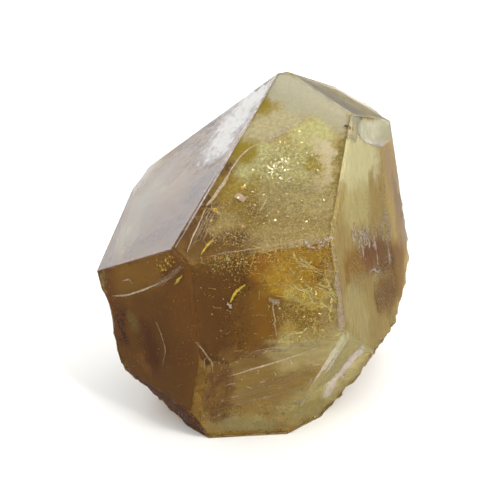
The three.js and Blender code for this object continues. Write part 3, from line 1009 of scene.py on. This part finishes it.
bpy.ops.mesh.primitive_cylinder_add(vertices=5, radius=0.5, depth=0.1)
splinter = bpy.context.object
splinter.name = "splinter"
bpy.ops.object.mode_set(mode="EDIT")
bpy.ops.transform.resize(value=(1, 0.5, 1))
bpy.ops.object.mode_set(mode="OBJECT")
scattered(
    "glints", FRONT_CROWN, splinter,
    sparkling(
        "bright fluid glints", ["#ffffff", "#fff9c8", "#ffef90", "#ffffff"], 0.5, metallic=1.0, rough=0.3
    ),
    [
        ((4.3, -7.6, 44.8), 0.25, 0.35, 60), ((3.8, -8.3, 44.1), 0.3, 0.4, 60),
        ((3.4, -8.9, 43.6), 0.4, 0.4, 50), ((2.4, -9.4, 43.0), 0.8, 1.0, 20),
        ((0.9, -9.9, 42.4), 0.5, 1.0, 8), ((5.2, -4.9, 47.1), 0.15, 0.3, 50),
        ((5.9, -4.5, 47.5), 0.1, 0.3, 40), ((6.6, -4.1, 47.9), 0.1, 0.3, 30),
        ((7.7, -3.3, 48.7), 0.1, 0.3, 24), ((4.0, -8.5, 43.6), 4.0, 2.5, 1.0),
        ((2.0, -14.0, 39.0), 6.0, 3.0, 0.5), ((5.4, -11.6, 40.9), 0.1, 0.5, 14),
        ((4.2, -11.9, 40.7), 0.1, 0.4, 14), ((-0.2, -14.8, 38.1), 0.1, 0.5, 16),
        ((0.3, -14.2, 38.7), 0.1, 0.4, 16),
    ],
    (0.2, 1.0), (0.16, 0.6), 71, clump=0.6, aim=mirror_way(FRONT_CROWN),
)
scattered(
    "front_glints", FRONT_SIDE, splinter,
    sparkling(
        "golden fluid glints", ["#ffffd0", "#fff090", "#ffe060", "#ffffb0"], 0.5, metallic=1.0, rough=0.4
    ),
    [
        ((6.6, -20.3, 26.2), 0.8, 1.2, 7), ((9.0, -20.3, 25.0), 1.0, 1.6, 4),
        ((5.0, -20.3, 31.0), 2.0, 2.0, 2), ((7.0, -20.3, 20.0), 2.0, 2.0, 2),
        ((-4.0, -20.7, 33.4), 2.5, 2.0, 2),
    ],
    (0.3, 1.0), (0.14, 0.42), 73, clump=0.8, aim=mirror_way(FRONT_SIDE),
)
bpy.data.objects.remove(splinter)


# --- Grains and crumbs of crack film --------------------------------------------------------------------
# Coarser grains of the same flattened shape: golden grains at the end of the side crack, crumbs of
# mauve and white film along the old cracks, and clay-stained crumbs sealed under the foot.
scattered(
    "left_glitter", LEFT_SIDE, flake,
    sparkling("golden grains", ["#fff468", "#f8c828", "#c88c18", "#fff8a0"], 0.4),
    [
        ((-15.4, -17.8, 29.6), 0.7, 0.6, 14), ((-14.4, -18.9, 31.0), 0.6, 0.6, 9),
        ((-16.2, -17.0, 30.0), 0.4, 0.5, 8), ((-13.7, -19.5, 31.8), 0.4, 0.4, 9),
    ],
    (0.2, 0.5), (0.2, 0.7), 83, clump=0.6,
)
scattered(
    "mauve_specks", FRONT_SIDE, flake,
    sparkling("mauve crack film", ["#f8ecf4", "#dcccd0", "#bca49c", "#ffffff"]),
    [
        ((9.2, -20.4, 34.6), 0.8, 0.8, 16), ((7.0, -20.4, 34.5), 0.5, 0.6, 14),
        ((12.0, -20.4, 19.4), 0.7, 0.7, 10), ((1.9, -20.5, 24.8), 0.4, 0.4, 14),
    ],
    (0.25, 0.8), (0.25, 0.7), 75, clump=0.8,
)
scattered(
    "flank_specks", RIGHT_SIDE, flake,
    sparkling("white crack film", ["#fffaf0", "#e8d8c8", "#cbb49c", "#ffffff"], 0.5),
    [
        ((20.7, 9.9, 36.6), 0.35, 0.4, 14), ((20.8, 9.1, 34.2), 0.3, 0.4, 12),
        ((20.8, 8.3, 31.9), 0.3, 0.4, 12), ((20.7, 6.8, 29.0), 0.35, 0.5, 14),
        ((19.7, 4.2, 29.0), 0.35, 0.5, 12), ((18.3, 0.3, 29.3), 0.5, 0.6, 14),
        ((14.8, -8.6, 31.6), 0.6, 0.8, 10), ((16.2, -5.2, 29.6), 0.6, 0.8, 12),
        ((17.8, -1.2, 28.3), 0.6, 0.8, 12), ((21.6, 7.6, 25.4), 0.8, 0.8, 12),
        ((18.4, -2.3, 22.3), 0.3, 0.5, 10), ((20.7, 7.0, 29.4), 0.5, 0.7, 20),
        ((19.4, 3.4, 28.4), 0.5, 0.7, 20), ((18.2, 0.2, 29.6), 0.4, 0.7, 20),
        ((17.0, -3.4, 30.2), 0.5, 0.7, 20), ((15.6, -7.0, 30.6), 0.5, 0.7, 18),
        ((22.2, 9.2, 26.2), 0.4, 0.7, 18), ((18.8, -1.2, 22.4), 0.2, 0.5, 20),
        ((17.8, -4.1, 22.4), 0.1, 0.4, 20), ((16.3, -8.2, 22.6), 0.1, 0.3, 16),
    ],
    (0.2, 0.5), (0.25, 0.8), 77, clump=0.8,
)
scattered(
    "foot_crust", RIGHT_UNDERCUT, flake,
    sparkling("clay crust", ["#f2eaa8", "#d8c070", "#b08840", "#e8b050"], 0.8, rough=0.8),
    [((4.6, -16.0, 1.2), 1.6, 1.4, 8), ((9.0, -12.0, 1.5), 2.0, 1.5, 4)],
    (0.5, 1.0), (0.2, 0.75), 79, clump=1.0,
)
bpy.data.objects.remove(flake)


# --- Gold needles ------------------------------------------------------------------------------------
# Hair-thin golden needles, bent as they grew, in a tangled bunch behind the upper front face. They
# catch the light as yellow threads. The short pale ones are threads of fluid, which look like frost.
bpy.ops.mesh.primitive_cylinder_add(vertices=4, radius=0.014, depth=1)
needle = bpy.context.object
needle.name = "needle"
bpy.ops.object.mode_set(mode="EDIT")
for cut in (-0.25, 0.0, 0.25):
    bpy.ops.mesh.select_all(action="SELECT")
    bpy.ops.mesh.bisect(plane_co=(0, 0, cut), plane_no=(0, 0, 1))
bpy.ops.object.mode_set(mode="OBJECT")
bow = needle.modifiers.new("bow", "SIMPLE_DEFORM")
bow.deform_method = "BEND"
bow.deform_axis = "X"
bow.angle = math.radians(50)
finish_modifiers(needle)
needle_gold = sparkling("golden needles", ["#fff8a8", "#f8d850", "#c89828", "#fffac0"], 1.0, rough=0.35)
scattered(
    "gold_needles", FRONT_SIDE, needle,
    needle_gold,
    [
        ((6.5, -20.3, 29.0), 4.0, 2.0, 3.4),
        ((8.8, -20.3, 25.5), 2.2, 1.6, 5.0),
        ((7.0, -20.3, 21.0), 3.2, 1.6, 1.6),
        ((0.5, -20.5, 31.0), 2.0, 2.0, 0.8),
    ],
    (0.3, 2.0), (0.7, 4.2), 81,
)
scattered(
    "crown_needles", FRONT_CROWN, needle,
    needle_gold,
    [((3.0, -12.0, 40.4), 6.0, 3.0, 1.2), ((-7.4, -15.0, 37.2), 2.2, 2.0, 3.0)],
    (0.3, 1.8), (0.5, 2.4), 91,
)
pale_threads = sparkling("pale fluid threads", ["#fffbe0", "#efdfa4", "#c8b068", "#fff4c4"], 0.6)
scattered(
    "crown_frost", FRONT_CROWN, needle,
    pale_threads,
    [
        ((3.0, -15.0, 37.4), 6.0, 4.0, 6), ((5.0, -9.0, 42.6), 3.5, 3.0, 4),
        ((9.5, -14.0, 38.6), 3.0, 3.0, 8), ((-5.0, -17.0, 34.8), 3.0, 3.0, 5),
        ((12.3, -9.0, 43.2), 0.8, 1.0, 9),
    ],
    (0.25, 1.2), (0.4, 1.6), 101, clump=1.4,
)
scattered(
    "front_frost", FRONT_SIDE, needle,
    sparkling("pale gold fluid threads", ["#fffbd0", "#fbe690", "#d0a848", "#fff6b8"], 0.6),
    [
        ((6.5, -20.3, 31.5), 4.5, 3.0, 5), ((6.9, -20.3, 21.0), 4.0, 2.0, 6),
        ((-4.0, -20.7, 33.4), 3.5, 2.2, 5), ((1.0, -20.5, 30.4), 2.0, 2.0, 3),
        ((-4.0, -20.5, 22.0), 6.0, 4.0, 0.3), ((10.8, -20.3, 24.0), 1.0, 5.0, 6),
    ],
    (0.25, 1.2), (0.4, 1.6), 103, clump=1.4,
)
scattered(
    "rear_frost", REAR_SIDE, needle,
    pale_threads,
    [
        ((-7.0, 20.5, 33.0), 3.0, 4.0, 5), ((8.0, 21.0, 37.0), 3.0, 4.0, 5),
        ((4.0, 21.0, 18.0), 4.0, 4.0, 4), ((-9.0, 20.5, 10.0), 2.0, 4.0, 4),
        ((15.0, 21.0, 25.0), 1.0, 3.0, 4),
    ],
    (0.25, 1.6), (0.4, 2.0), 105, clump=1.6,
)
bpy.data.objects.remove(needle)


# --- Golden plates and the pink cleavage flake --------------------------------------------------------
# A few small flat crystals of a golden mineral, sealed under the crown and the left side like
# confetti, and one pinkish cleavage flake beside the long crack. Each is a bevelled plate.
def plate(face, middle, size, lean):
    """A bevelled plate at a point in mm, its sides in mm, turned by lean degrees in the face."""
    bpy.ops.mesh.primitive_cube_add(size=1)
    made = bpy.context.object
    bpy.ops.object.mode_set(mode="EDIT")
    bpy.ops.transform.resize(value=tuple(s * MM for s in size))
    bpy.ops.mesh.bevel(offset=0.15 * min(size) * MM, segments=1)
    bpy.ops.object.mode_set(mode="OBJECT")
    level = face[1].to_track_quat("Z", "Y")
    tipped = Vector((0, 0, 1)).rotation_difference(Vector((0.12, 0.1, 1)))  # a little out of the face
    made.rotation_mode = "QUATERNION"
    made.rotation_quaternion = level @ tipped
    made.rotation_quaternion = made.rotation_quaternion @ Quaternion((0, 0, 1), math.radians(lean))
    made.location = Vector(middle) * MM
    bpy.ops.object.transform_apply(location=True, rotation=True, scale=True)
    return made


def plates(name, pieces, material):
    """Plates joined into one mesh."""
    made = [plate(*piece) for piece in pieces]
    bpy.ops.object.select_all(action="DESELECT")
    for one in made:
        one.select_set(True)
    bpy.context.view_layer.objects.active = made[0]
    if len(made) > 1:
        bpy.ops.object.join()
    piece = bpy.context.object
    piece.name = name
    piece.data.materials.append(material)
    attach(piece, "root")


plates(
    "golden_plates",
    [
        (FRONT_CROWN, (-3.1, -11.9, 40.2), (0.75, 0.55, 0.12), 20),
        (FRONT_CROWN, (-7.5, -14.7, 37.5), (0.7, 0.65, 0.12), 10),
        (FRONT_CROWN, (-7.0, -15.2, 37.2), (0.5, 0.6, 0.12), 35),
        (FRONT_CROWN, (-8.1, -16.2, 36.2), (0.5, 0.4, 0.12), 60),
        (LEFT_SIDE, (-15.3, -17.2, 28.8), (0.55, 0.35, 0.12), 15),
        (LEFT_SIDE, (-14.4, -18.3, 30.3), (0.4, 0.4, 0.12), 40),
    ],
    sparkling("golden plates", ["#fff060", "#f8cc30", "#d8a020", "#fff490"], 0.6),
)
plates(
    "cleavage_flake",
    [(FRONT_CROWN, (-3.55, -13.4, 39.1), (1.75, 1.0, 0.06), -32)],
    sparkling("pink cleavage film", ["#ecd8c8", "#e0c8b4", "#d8bca4", "#ecd8c8"], 0.8),
)


# --- Healed cracks and threads ---------------------------------------------------------------------
# Cracks that healed while the crystal grew, now seams of pale feathery fibres just under the faces,
# and a few single threads. Each seam is a bundle of thin strands that wander about one line.
def strands(name, paths, count, spread, thickness, wander, seed, material, smooth=True):
    """A bundle of thin strands along each path of points in mm, joined into one mesh."""
    draw = np.random.default_rng(seed)
    line = bpy.data.curves.new(name, "CURVE")
    line.dimensions = "3D"
    line.bevel_depth = 1.0
    line.bevel_resolution = 1
    line.use_fill_caps = True
    line.resolution_u = 4
    for middle in [np.array(path, float) for path in paths for _ in range(count)]:
        ends = np.sort(draw.uniform(0, 1, 2)) if count > 1 else (0.0, 1.0)
        ends = (ends[0] * 0.35, 1 - (1 - ends[1]) * 0.35)  # each starts and stops near the path's ends
        steps = max(4, int(len(middle) * 3 * (ends[1] - ends[0])))
        along = np.linspace(ends[0], ends[1], steps) * (len(middle) - 1)
        track = np.stack([np.interp(along, range(len(middle)), middle[:, k]) for k in range(3)], axis=1)
        track += draw.normal(0, spread, 3) + draw.normal(0, wander, (steps, 3))
        for k, spot in enumerate(track):
            depth, outward = depth_under_skin(Vector(spot) * MM)
            track[k] = spot - np.array(outward) * max(0.0, thickness + SEALED_UNDER - depth / MM)
        spline = line.splines.new("NURBS" if smooth else "POLY")
        spline.points.add(steps - 1)
        if smooth:
            spline.use_endpoint_u = True
            spline.order_u = 3
        thick = thickness * draw.uniform(0.5, 1.0)
        for k, point in enumerate(spline.points):
            point.co = (*(track[k] * MM), 1)
            taper = 0.25 + 0.75 * math.sin(math.pi * (k + 0.5) / steps)
            point.radius = thick * taper * draw.uniform(0.7, 1.2) * MM
    piece = bpy.data.objects.new(name, line)
    bpy.context.scene.collection.objects.link(piece)
    take(piece)
    bpy.ops.object.convert(target="MESH")
    piece = bpy.context.object
    piece.data.materials.clear()
    piece.data.materials.append(material)
    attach(piece, "root")


pale_fibre = sparkling("healed barite fibres", ["#fff8ea", "#f6e6cc", "#e2c8a0", "#fffaf0"], 0.6, rough=0.5)
milky_fibre = sparkling("milky fibres", ["#fdf6f6", "#e2d6dc", "#cfc0c0", "#ffffff"], 0.5, rough=0.5)
bright_fibre = sparkling(
    "bright yellow threads", ["#fffde0", "#fff6a0", "#fbe470", "#ffffff"], 0.6, rough=0.4
)
white_fibre = sparkling(
    "white fluid threads", ["#ffffff", "#fffee8", "#fff8c8", "#ffffff"], 0.6, metallic=0.7, rough=0.4
)
bright_gold = sparkling("golden rods", ["#fff668", "#ffe850", "#f0c838", "#fffa90"], 0.6, rough=0.4)
mauve_fibre = sparkling("mauve threads", ["#cdbcc0", "#b8a4a4", "#a08c8c", "#d8ccd2"], 0.8, rough=0.5)
dark_fibre = sparkling("open hairline cracks", ["#6e646c", "#847a84", "#5a5058", "#968c96"], 1.0, rough=0.5)
brown_fibre = sparkling("rusty fibres", ["#6e4a2c", "#8a6238", "#57381f", "#a07848"], 0.6, rough=0.6)
tan_fibre = sparkling("tan edge threads", ["#d8c0a4", "#c2a684", "#b09478", "#e2d0ba"], 0.8, rough=0.5)

SEAMS = [  # name, material, strands, spread and greatest radius and wander in mm, seed, path in mm
    (
        "crack_upper", pale_fibre, 4, 0.05, 0.14, 0.03, 5,
        [
            (-1.0, -6.0, 45.6), (-2.2, -6.5, 45.0), (-3.5, -7.5, 44.1), (-4.7, -8.9, 42.8),
            (-5.6, -10.3, 41.6),
        ],
    ),
    (
        "crack_middle", pale_fibre, 9, 0.08, 0.11, 0.04, 6,
        [
            (-4.9, -9.2, 42.5), (-5.4, -10.1, 41.7), (-6.4, -11.4, 40.5), (-8.2, -13.6, 38.5),
            (-9.0, -14.2, 37.9),
        ],
    ),
    (
        "crack_lower", pale_fibre, 4, 0.08, 0.10, 0.07, 7,
        [
            (-8.8, -14.2, 38.0), (-9.4, -15.3, 36.9), (-9.9, -16.3, 35.9), (-10.9, -18.2, 34.1),
            (-11.7, -20.0, 32.4),
        ],
    ),
    (
        "crack_fan", pale_fibre, 8, (0.7, 0.5, 0.1), 0.035, 0.08, 8,
        [(-7.0, -13.4, 38.5), (-8.1, -15.0, 37.0), (-9.2, -17.2, 35.0), (-10.4, -19.6, 32.8)],
    ),
    (
        "side_crack", pale_fibre, 7, 0.08, 0.09, 0.05, 9,
        [
            (-24.5, -8.3, 20.8), (-23.3, -9.6, 21.3), (-22.0, -10.8, 21.9), (-20.3, -12.5, 23.0),
            (-18.7, -14.2, 24.2), (-17.0, -15.9, 25.6), (-15.4, -17.5, 26.9), (-14.2, -18.7, 28.2),
        ],
    ),
    (
        "side_crack_end", tan_fibre, 13, 0.24, 0.045, 0.10, 10,
        [
            (-17.4, -15.5, 25.3), (-15.8, -17.1, 26.6), (-14.3, -18.7, 28.2), (-13.3, -19.7, 29.4),
            (-12.1, -21.0, 30.9),
        ],
    ),
    (
        "corner_hook", tan_fibre, 3, 0.04, 0.10, 0.05, 13,
        [
            (-10.6, -21.3, 18.5), (-9.9, -21.3, 17.7), (-9.2, -21.2, 16.7), (-8.0, -21.1, 14.8),
            (-7.9, -20.7, 12.5),
        ],
    ),
    (
        "corner_loop", tan_fibre, 2, 0.03, 0.07, 0.06, 35,
        [(-8.6, -21.2, 16.0), (-9.2, -21.0, 15.2), (-9.2, -20.8, 14.2), (-8.8, -20.6, 13.0)],
    ),
    (
        "panel_border", pale_fibre, 4, 0.07, 0.055, 0.08, 14,
        [
            (1.5, -20.5, 25.1), (1.4, -20.6, 24.1), (1.7, -20.5, 22.2), (1.8, -20.5, 21.1),
            (2.1, -20.5, 18.2),
        ],
    ),
    (
        "undercut_seam", pale_fibre, 5, 0.05, 0.13, 0.03, 15,
        [
            (-5.7, -20.6, 12.0), (-2.2, -20.5, 13.2), (1.0, -20.4, 14.2), (4.4, -20.2, 15.3),
            (8.4, -20.1, 16.8),
        ],
    ),
    (
        "undercut_seam_end", tan_fibre, 3, 0.05, 0.06, 0.03, 16,
        [(4.4, -20.2, 15.3), (8.4, -20.1, 16.8), (12.2, -20.0, 18.1)],
    ),
    (
        "edge_seam", pale_fibre, 5, 0.20, 0.035, 0.07, 17,
        [
            (-3.2, -20.9, 15.8), (1.1, -20.7, 16.9), (4.2, -20.6, 17.3), (8.0, -20.4, 18.2),
            (12.0, -20.3, 19.2),
        ],
    ),
    (
        "shoulder_seam", pale_fibre, 4, 0.15, 0.03, 0.10, 18,
        [
            (-9.5, -20.9, 31.6), (-4.5, -20.6, 32.6), (0.5, -20.4, 33.3), (5.0, -20.2, 34.2),
            (9.6, -20.0, 34.9),
        ],
    ),
    (
        "foot_striations", tan_fibre, 16, (1.2, 0.1, 1.5), 0.04, 0.03, 19,
        [(-7.5, -19.4, 7.0), (-1.0, -19.1, 8.8), (3.8, -18.8, 10.3), (7.6, -18.8, 11.5)],
    ),
    (
        "flank_curl", milky_fibre, 3, 0.06, 0.12, 0.08, 21,
        [(16.9, -5.9, 23.4), (17.7, -3.9, 23.6), (18.4, -2.3, 23.0), (19.1, -0.8, 22.0), (19.9, 1.2, 21.8)],
    ),
    (
        "low_streak", white_fibre, 3, 0.05, 0.16, 0.05, 24,
        [(3.3, -11.8, 41.0), (3.9, -11.4, 41.4), (4.6, -11.0, 41.8)],
    ),
    (
        "long_streak", white_fibre, 3, 0.03, 0.14, 0.03, 25,
        [(0.4, -14.0, 38.9), (-0.1, -14.8, 38.2), (-0.7, -15.6, 37.4)],
    ),
    (
        "mauve_streak", milky_fibre, 6, 0.12, 0.09, 0.10, 26,
        [(0.3, -5.7, 45.7), (1.4, -5.0, 46.3), (3.1, -4.2, 47.1), (4.8, -3.2, 48.1)],
    ),
    (
        "gold_thread_long", bright_fibre, 4, 0.10, 0.09, 0.06, 28,
        [
            (2.6, -20.5, 28.0), (4.7, -20.3, 27.0), (5.6, -20.3, 26.7), (6.9, -20.2, 26.0),
            (7.6, -20.2, 24.4),
        ],
    ),
    (
        "gold_thread_high", bright_fibre, 2, 0.06, 0.08, 0.08, 29,
        [(5.2, -20.4, 32.2), (6.2, -20.3, 31.2), (7.3, -20.3, 30.3), (9.1, -20.2, 29.5)],
    ),
    (
        "gold_thread_right", bright_fibre, 5, 0.35, 0.07, 0.08, 30,
        [(7.6, -20.2, 27.4), (9.0, -20.2, 26.8), (10.4, -20.1, 25.8), (11.3, -20.1, 24.6)],
    ),
    (
        "cap_rim", milky_fibre, 6, 0.10, 0.18, 0.12, 33,
        [
            (15.1, -2.1, 45.9), (16.3, 0.8, 44.6), (17.6, 3.8, 43.2), (18.6, 6.4, 42.1), (19.7, 9.3, 41.2),
            (20.7, 11.7, 40.8), (21.6, 14.3, 40.8),
        ],
    ),
    (
        "shoulder_notch", brown_fibre, 5, 0.12, 0.22, 0.10, 36,
        [(12.9, -4.1, 48.0), (13.4, -4.4, 47.8), (13.8, -4.8, 47.5)],
    ),
    (
        "left_crest", milky_fibre, 3, 0.05, 0.14, 0.04, 34,
        [
            (-13.6, -19.6, 33.1), (-9.5, -13.6, 38.6), (-5.5, -7.6, 44.1), (-1.5, -1.7, 49.5),
            (1.7, 3.0, 53.8),
        ],
    ),
    (
        "film_crack", mauve_fibre, 3, 0.10, 0.07, 0.05, 31,
        [(5.0, -18.3, 6.2), (6.0, -18.2, 6.6), (7.1, -18.1, 6.9)],
    ),
    (
        "rear_seam", pale_fibre, 6, 0.10, 0.10, 0.06, 35,
        [(-12.5, 20.2, 38.5), (-6.5, 20.5, 33.2), (-1.0, 20.9, 31.4), (4.0, 21.2, 27.0), (9.5, 21.6, 24.4)],
    ),
    (
        "rear_thread", pale_fibre, 3, 0.08, 0.08, 0.06, 36,
        [(2.5, 21.1, 42.0), (7.5, 21.4, 38.2), (12.0, 21.7, 37.4), (15.5, 21.9, 33.0)],
    ),
    (
        "rear_low_seam", tan_fibre, 5, 0.12, 0.09, 0.07, 37,
        [(-9.5, 20.2, 9.6), (-6.5, 20.4, 12.4), (-2.5, 20.7, 11.4), (1.0, 20.9, 6.5)],
    ),
]
for name, material, count, spread, thickness, wander, seed, path in SEAMS:
    strands(name, [path], count, spread, thickness, wander, seed, material)

KINKED = [  # name, material, strands, greatest radius in mm, path in mm: threads and rods with sharp bends
    (
        "front_rod", bright_gold, 4, 0.17,
        [
            (-5.3, -20.9, 24.6), (-4.9, -20.8, 25.6), (-4.4, -20.8, 26.4), (-3.7, -20.8, 27.1),
            (-2.8, -20.7, 27.8),
        ],
    ),
    (
        "front_rod_foot", milky_fibre, 5, 0.16,
        [(-5.7, -20.9, 24.9), (-5.2, -20.9, 24.3), (-4.9, -20.9, 23.9)],
    ),
    (
        "left_rod", bright_gold, 4, 0.17,
        [(-13.5, -19.0, 27.1), (-13.0, -19.4, 27.8), (-12.7, -19.8, 28.4), (-12.1, -20.5, 29.3)],
    ),
    (
        "crown_rod", bright_gold, 4, 0.15,
        [(-9.6, -20.3, 32.1), (-9.0, -19.6, 32.8), (-8.4, -19.0, 33.4), (-7.4, -18.2, 34.2)],
    ),
    (
        "hook_thread", pale_fibre, 2, 0.08,
        [(-22.6, -10.4, 24.1), (-21.9, -11.1, 24.6), (-21.2, -11.8, 25.0), (-19.9, -13.0, 24.1)],
    ),
    (
        "left_thread", tan_fibre, 3, 0.11,
        [(-16.9, -15.2, 19.5), (-16.0, -15.9, 17.6), (-15.3, -16.3, 15.0), (-15.9, -15.4, 11.5)],
    ),
]
for seed, (name, material, count, thickness, path) in enumerate(KINKED, 41):
    strands(name, [path], count, 0.07, thickness, 0.06, seed, material, smooth=False)

HAIRLINES = [  # fine open cracks in the upper left face, in mm
    [
        (-16.18, -15.98, 32.30), (-14.97, -14.58, 33.80), (-13.78, -13.48, 35.20), (-12.97, -10.88, 36.70),
        (-12.38, -9.58, 37.59),
    ],
    [(-17.88, -14.78, 31.10), (-16.67, -12.48, 32.80), (-16.07, -9.98, 34.09)],
    [(-15.08, 0.62, 37.70), (-13.78, 0.82, 39.00), (-12.08, -0.78, 40.20), (-10.38, -1.08, 41.70)],
]
strands("hairlines", HAIRLINES, 3, 0.10, 0.018, 0.08, 51, dark_fibre)
SCRATCHES = [  # where small pale scratches lie under the undercut face, in mm, and their lean
    ((-0.9, -20.1, 12.7), 80), ((-0.3, -19.6, 10.7), 20), ((-2.2, -19.6, 9.7), -30),
    ((-4.5, -19.5, 8.0), 10), ((-6.6, -19.5, 7.2), 40), ((1.9, -19.8, 12.2), -60),
    ((4.4, -20.0, 14.2), -70), ((-5.2, -20.2, 10.6), 8), ((2.6, -19.4, 9.4), 15), ((8.2, -19.2, 13.6), 8),
    ((-7.2, -19.0, 4.4), 35),
]
scratch_paths = []
for k, ((x, y, z), lean) in enumerate(SCRATCHES):
    reach = 0.5 + 0.12 * (k % 4)
    step = (reach * math.cos(math.radians(lean)), 0.0, reach * math.sin(math.radians(lean)))
    scratch_paths.append([(x - step[0], y, z - step[2]), (x, y, z + 0.05), (x + step[0], y, z + step[2])])
strands("scratches", scratch_paths, 2, 0.04, 0.07, 0.04, 61, pale_fibre)


# --- Floor --------------------------------------------------------------------------------------
# A sheet of pale paper that the crystal rests on. It isn't part of the crystal.
bpy.ops.mesh.primitive_plane_add(size=4.0, location=(0, 0, -0.02 * MM))
floor = bpy.context.object
floor.name = "floor"
material, tree, shader, _ = new_material("pale matt paper")
shader.inputs["Base Color"].default_value = linear("#f4f4f2")
shader.inputs["Roughness"].default_value = 0.9
shader.inputs["Specular IOR Level"].default_value = 0.0
floor.data.materials.append(material)
floor.visible_glossy = False  # the faces mirror the dim room below it, as under a polarising filter


# --- Light and camera -----------------------------------------------------------------------------
# A white room, a large soft box overhead, a smaller one at the front right, and one low behind on the
# left that the upper left face mirrors. A black card straight above keeps glare off the front crown.
scene = bpy.context.scene
scene.world = bpy.data.worlds.new("white room")
scene.world.use_nodes = True
tree = scene.world.node_tree
skyward = add_node(tree, "ShaderNodeTexCoord").outputs["Generated"]
upward = add_node(tree, "ShaderNodeSeparateXYZ", {}, {"Vector": skyward}).outputs["Z"]
glow = add_node(
    tree, "ShaderNodeMapRange", {"interpolation_type": "SMOOTHSTEP"},
    {"Value": upward, "From Min": -0.05, "From Max": 0.35, "To Min": 0.12, "To Max": 1.3},
).outputs["Result"]
card = add_node(
    tree, "ShaderNodeMapRange", {"interpolation_type": "SMOOTHSTEP"},
    {"Value": upward, "From Min": 0.90, "From Max": 0.95, "To Min": 1.0, "To Max": 0.2},
).outputs["Result"]
glow = add_node(tree, "ShaderNodeMath", {"operation": "MULTIPLY"}, {0: glow, 1: card}).outputs[0]
tree.links.new(glow, tree.nodes["Background"].inputs["Strength"])
tree.nodes["Background"].inputs["Color"].default_value = linear("#ffffff")


def soft_box(name, place, size, power, tint):
    """A square area light at a place in metres, turned to the crystal's middle."""
    lamp = bpy.data.lights.new(name, "AREA")
    lamp.size = size
    lamp.energy = power
    lamp.color = tint
    box = bpy.data.objects.new(name, lamp)
    box.location = place
    box.rotation_euler = (Vector((0, 0, 0.028)) - Vector(place)).to_track_quat("-Z", "Y").to_euler()
    scene.collection.objects.link(box)


soft_box("overhead", (0.45, 0.75, 1.0), 0.9, 5.0, (1.0, 0.98, 0.95))
soft_box("front_right", SOFT_BOX, 0.35, 7.0, (1.0, 0.99, 0.96))
soft_box("low_window", (-0.60, 0.80, 0.31), 0.6, 1.05, (1.0, 0.97, 1.0))

camera_data = bpy.data.cameras.new("camera")
camera_data.lens = 100
camera_data.sensor_width = 36
camera_data.clip_start = 0.01
camera = bpy.data.objects.new("camera", camera_data)
camera.location = EYE
camera.rotation_euler = (math.radians(70), 0, 0)
scene.collection.objects.link(camera)
scene.camera = camera
scene.view_settings.view_transform = "Standard"
scene.cycles.max_bounces = 24
scene.cycles.transmission_bounces = 20
scene.cycles.transparent_max_bounces = 32
scene.cycles.diffuse_bounces = 6

bpy.data.objects.remove(solid)
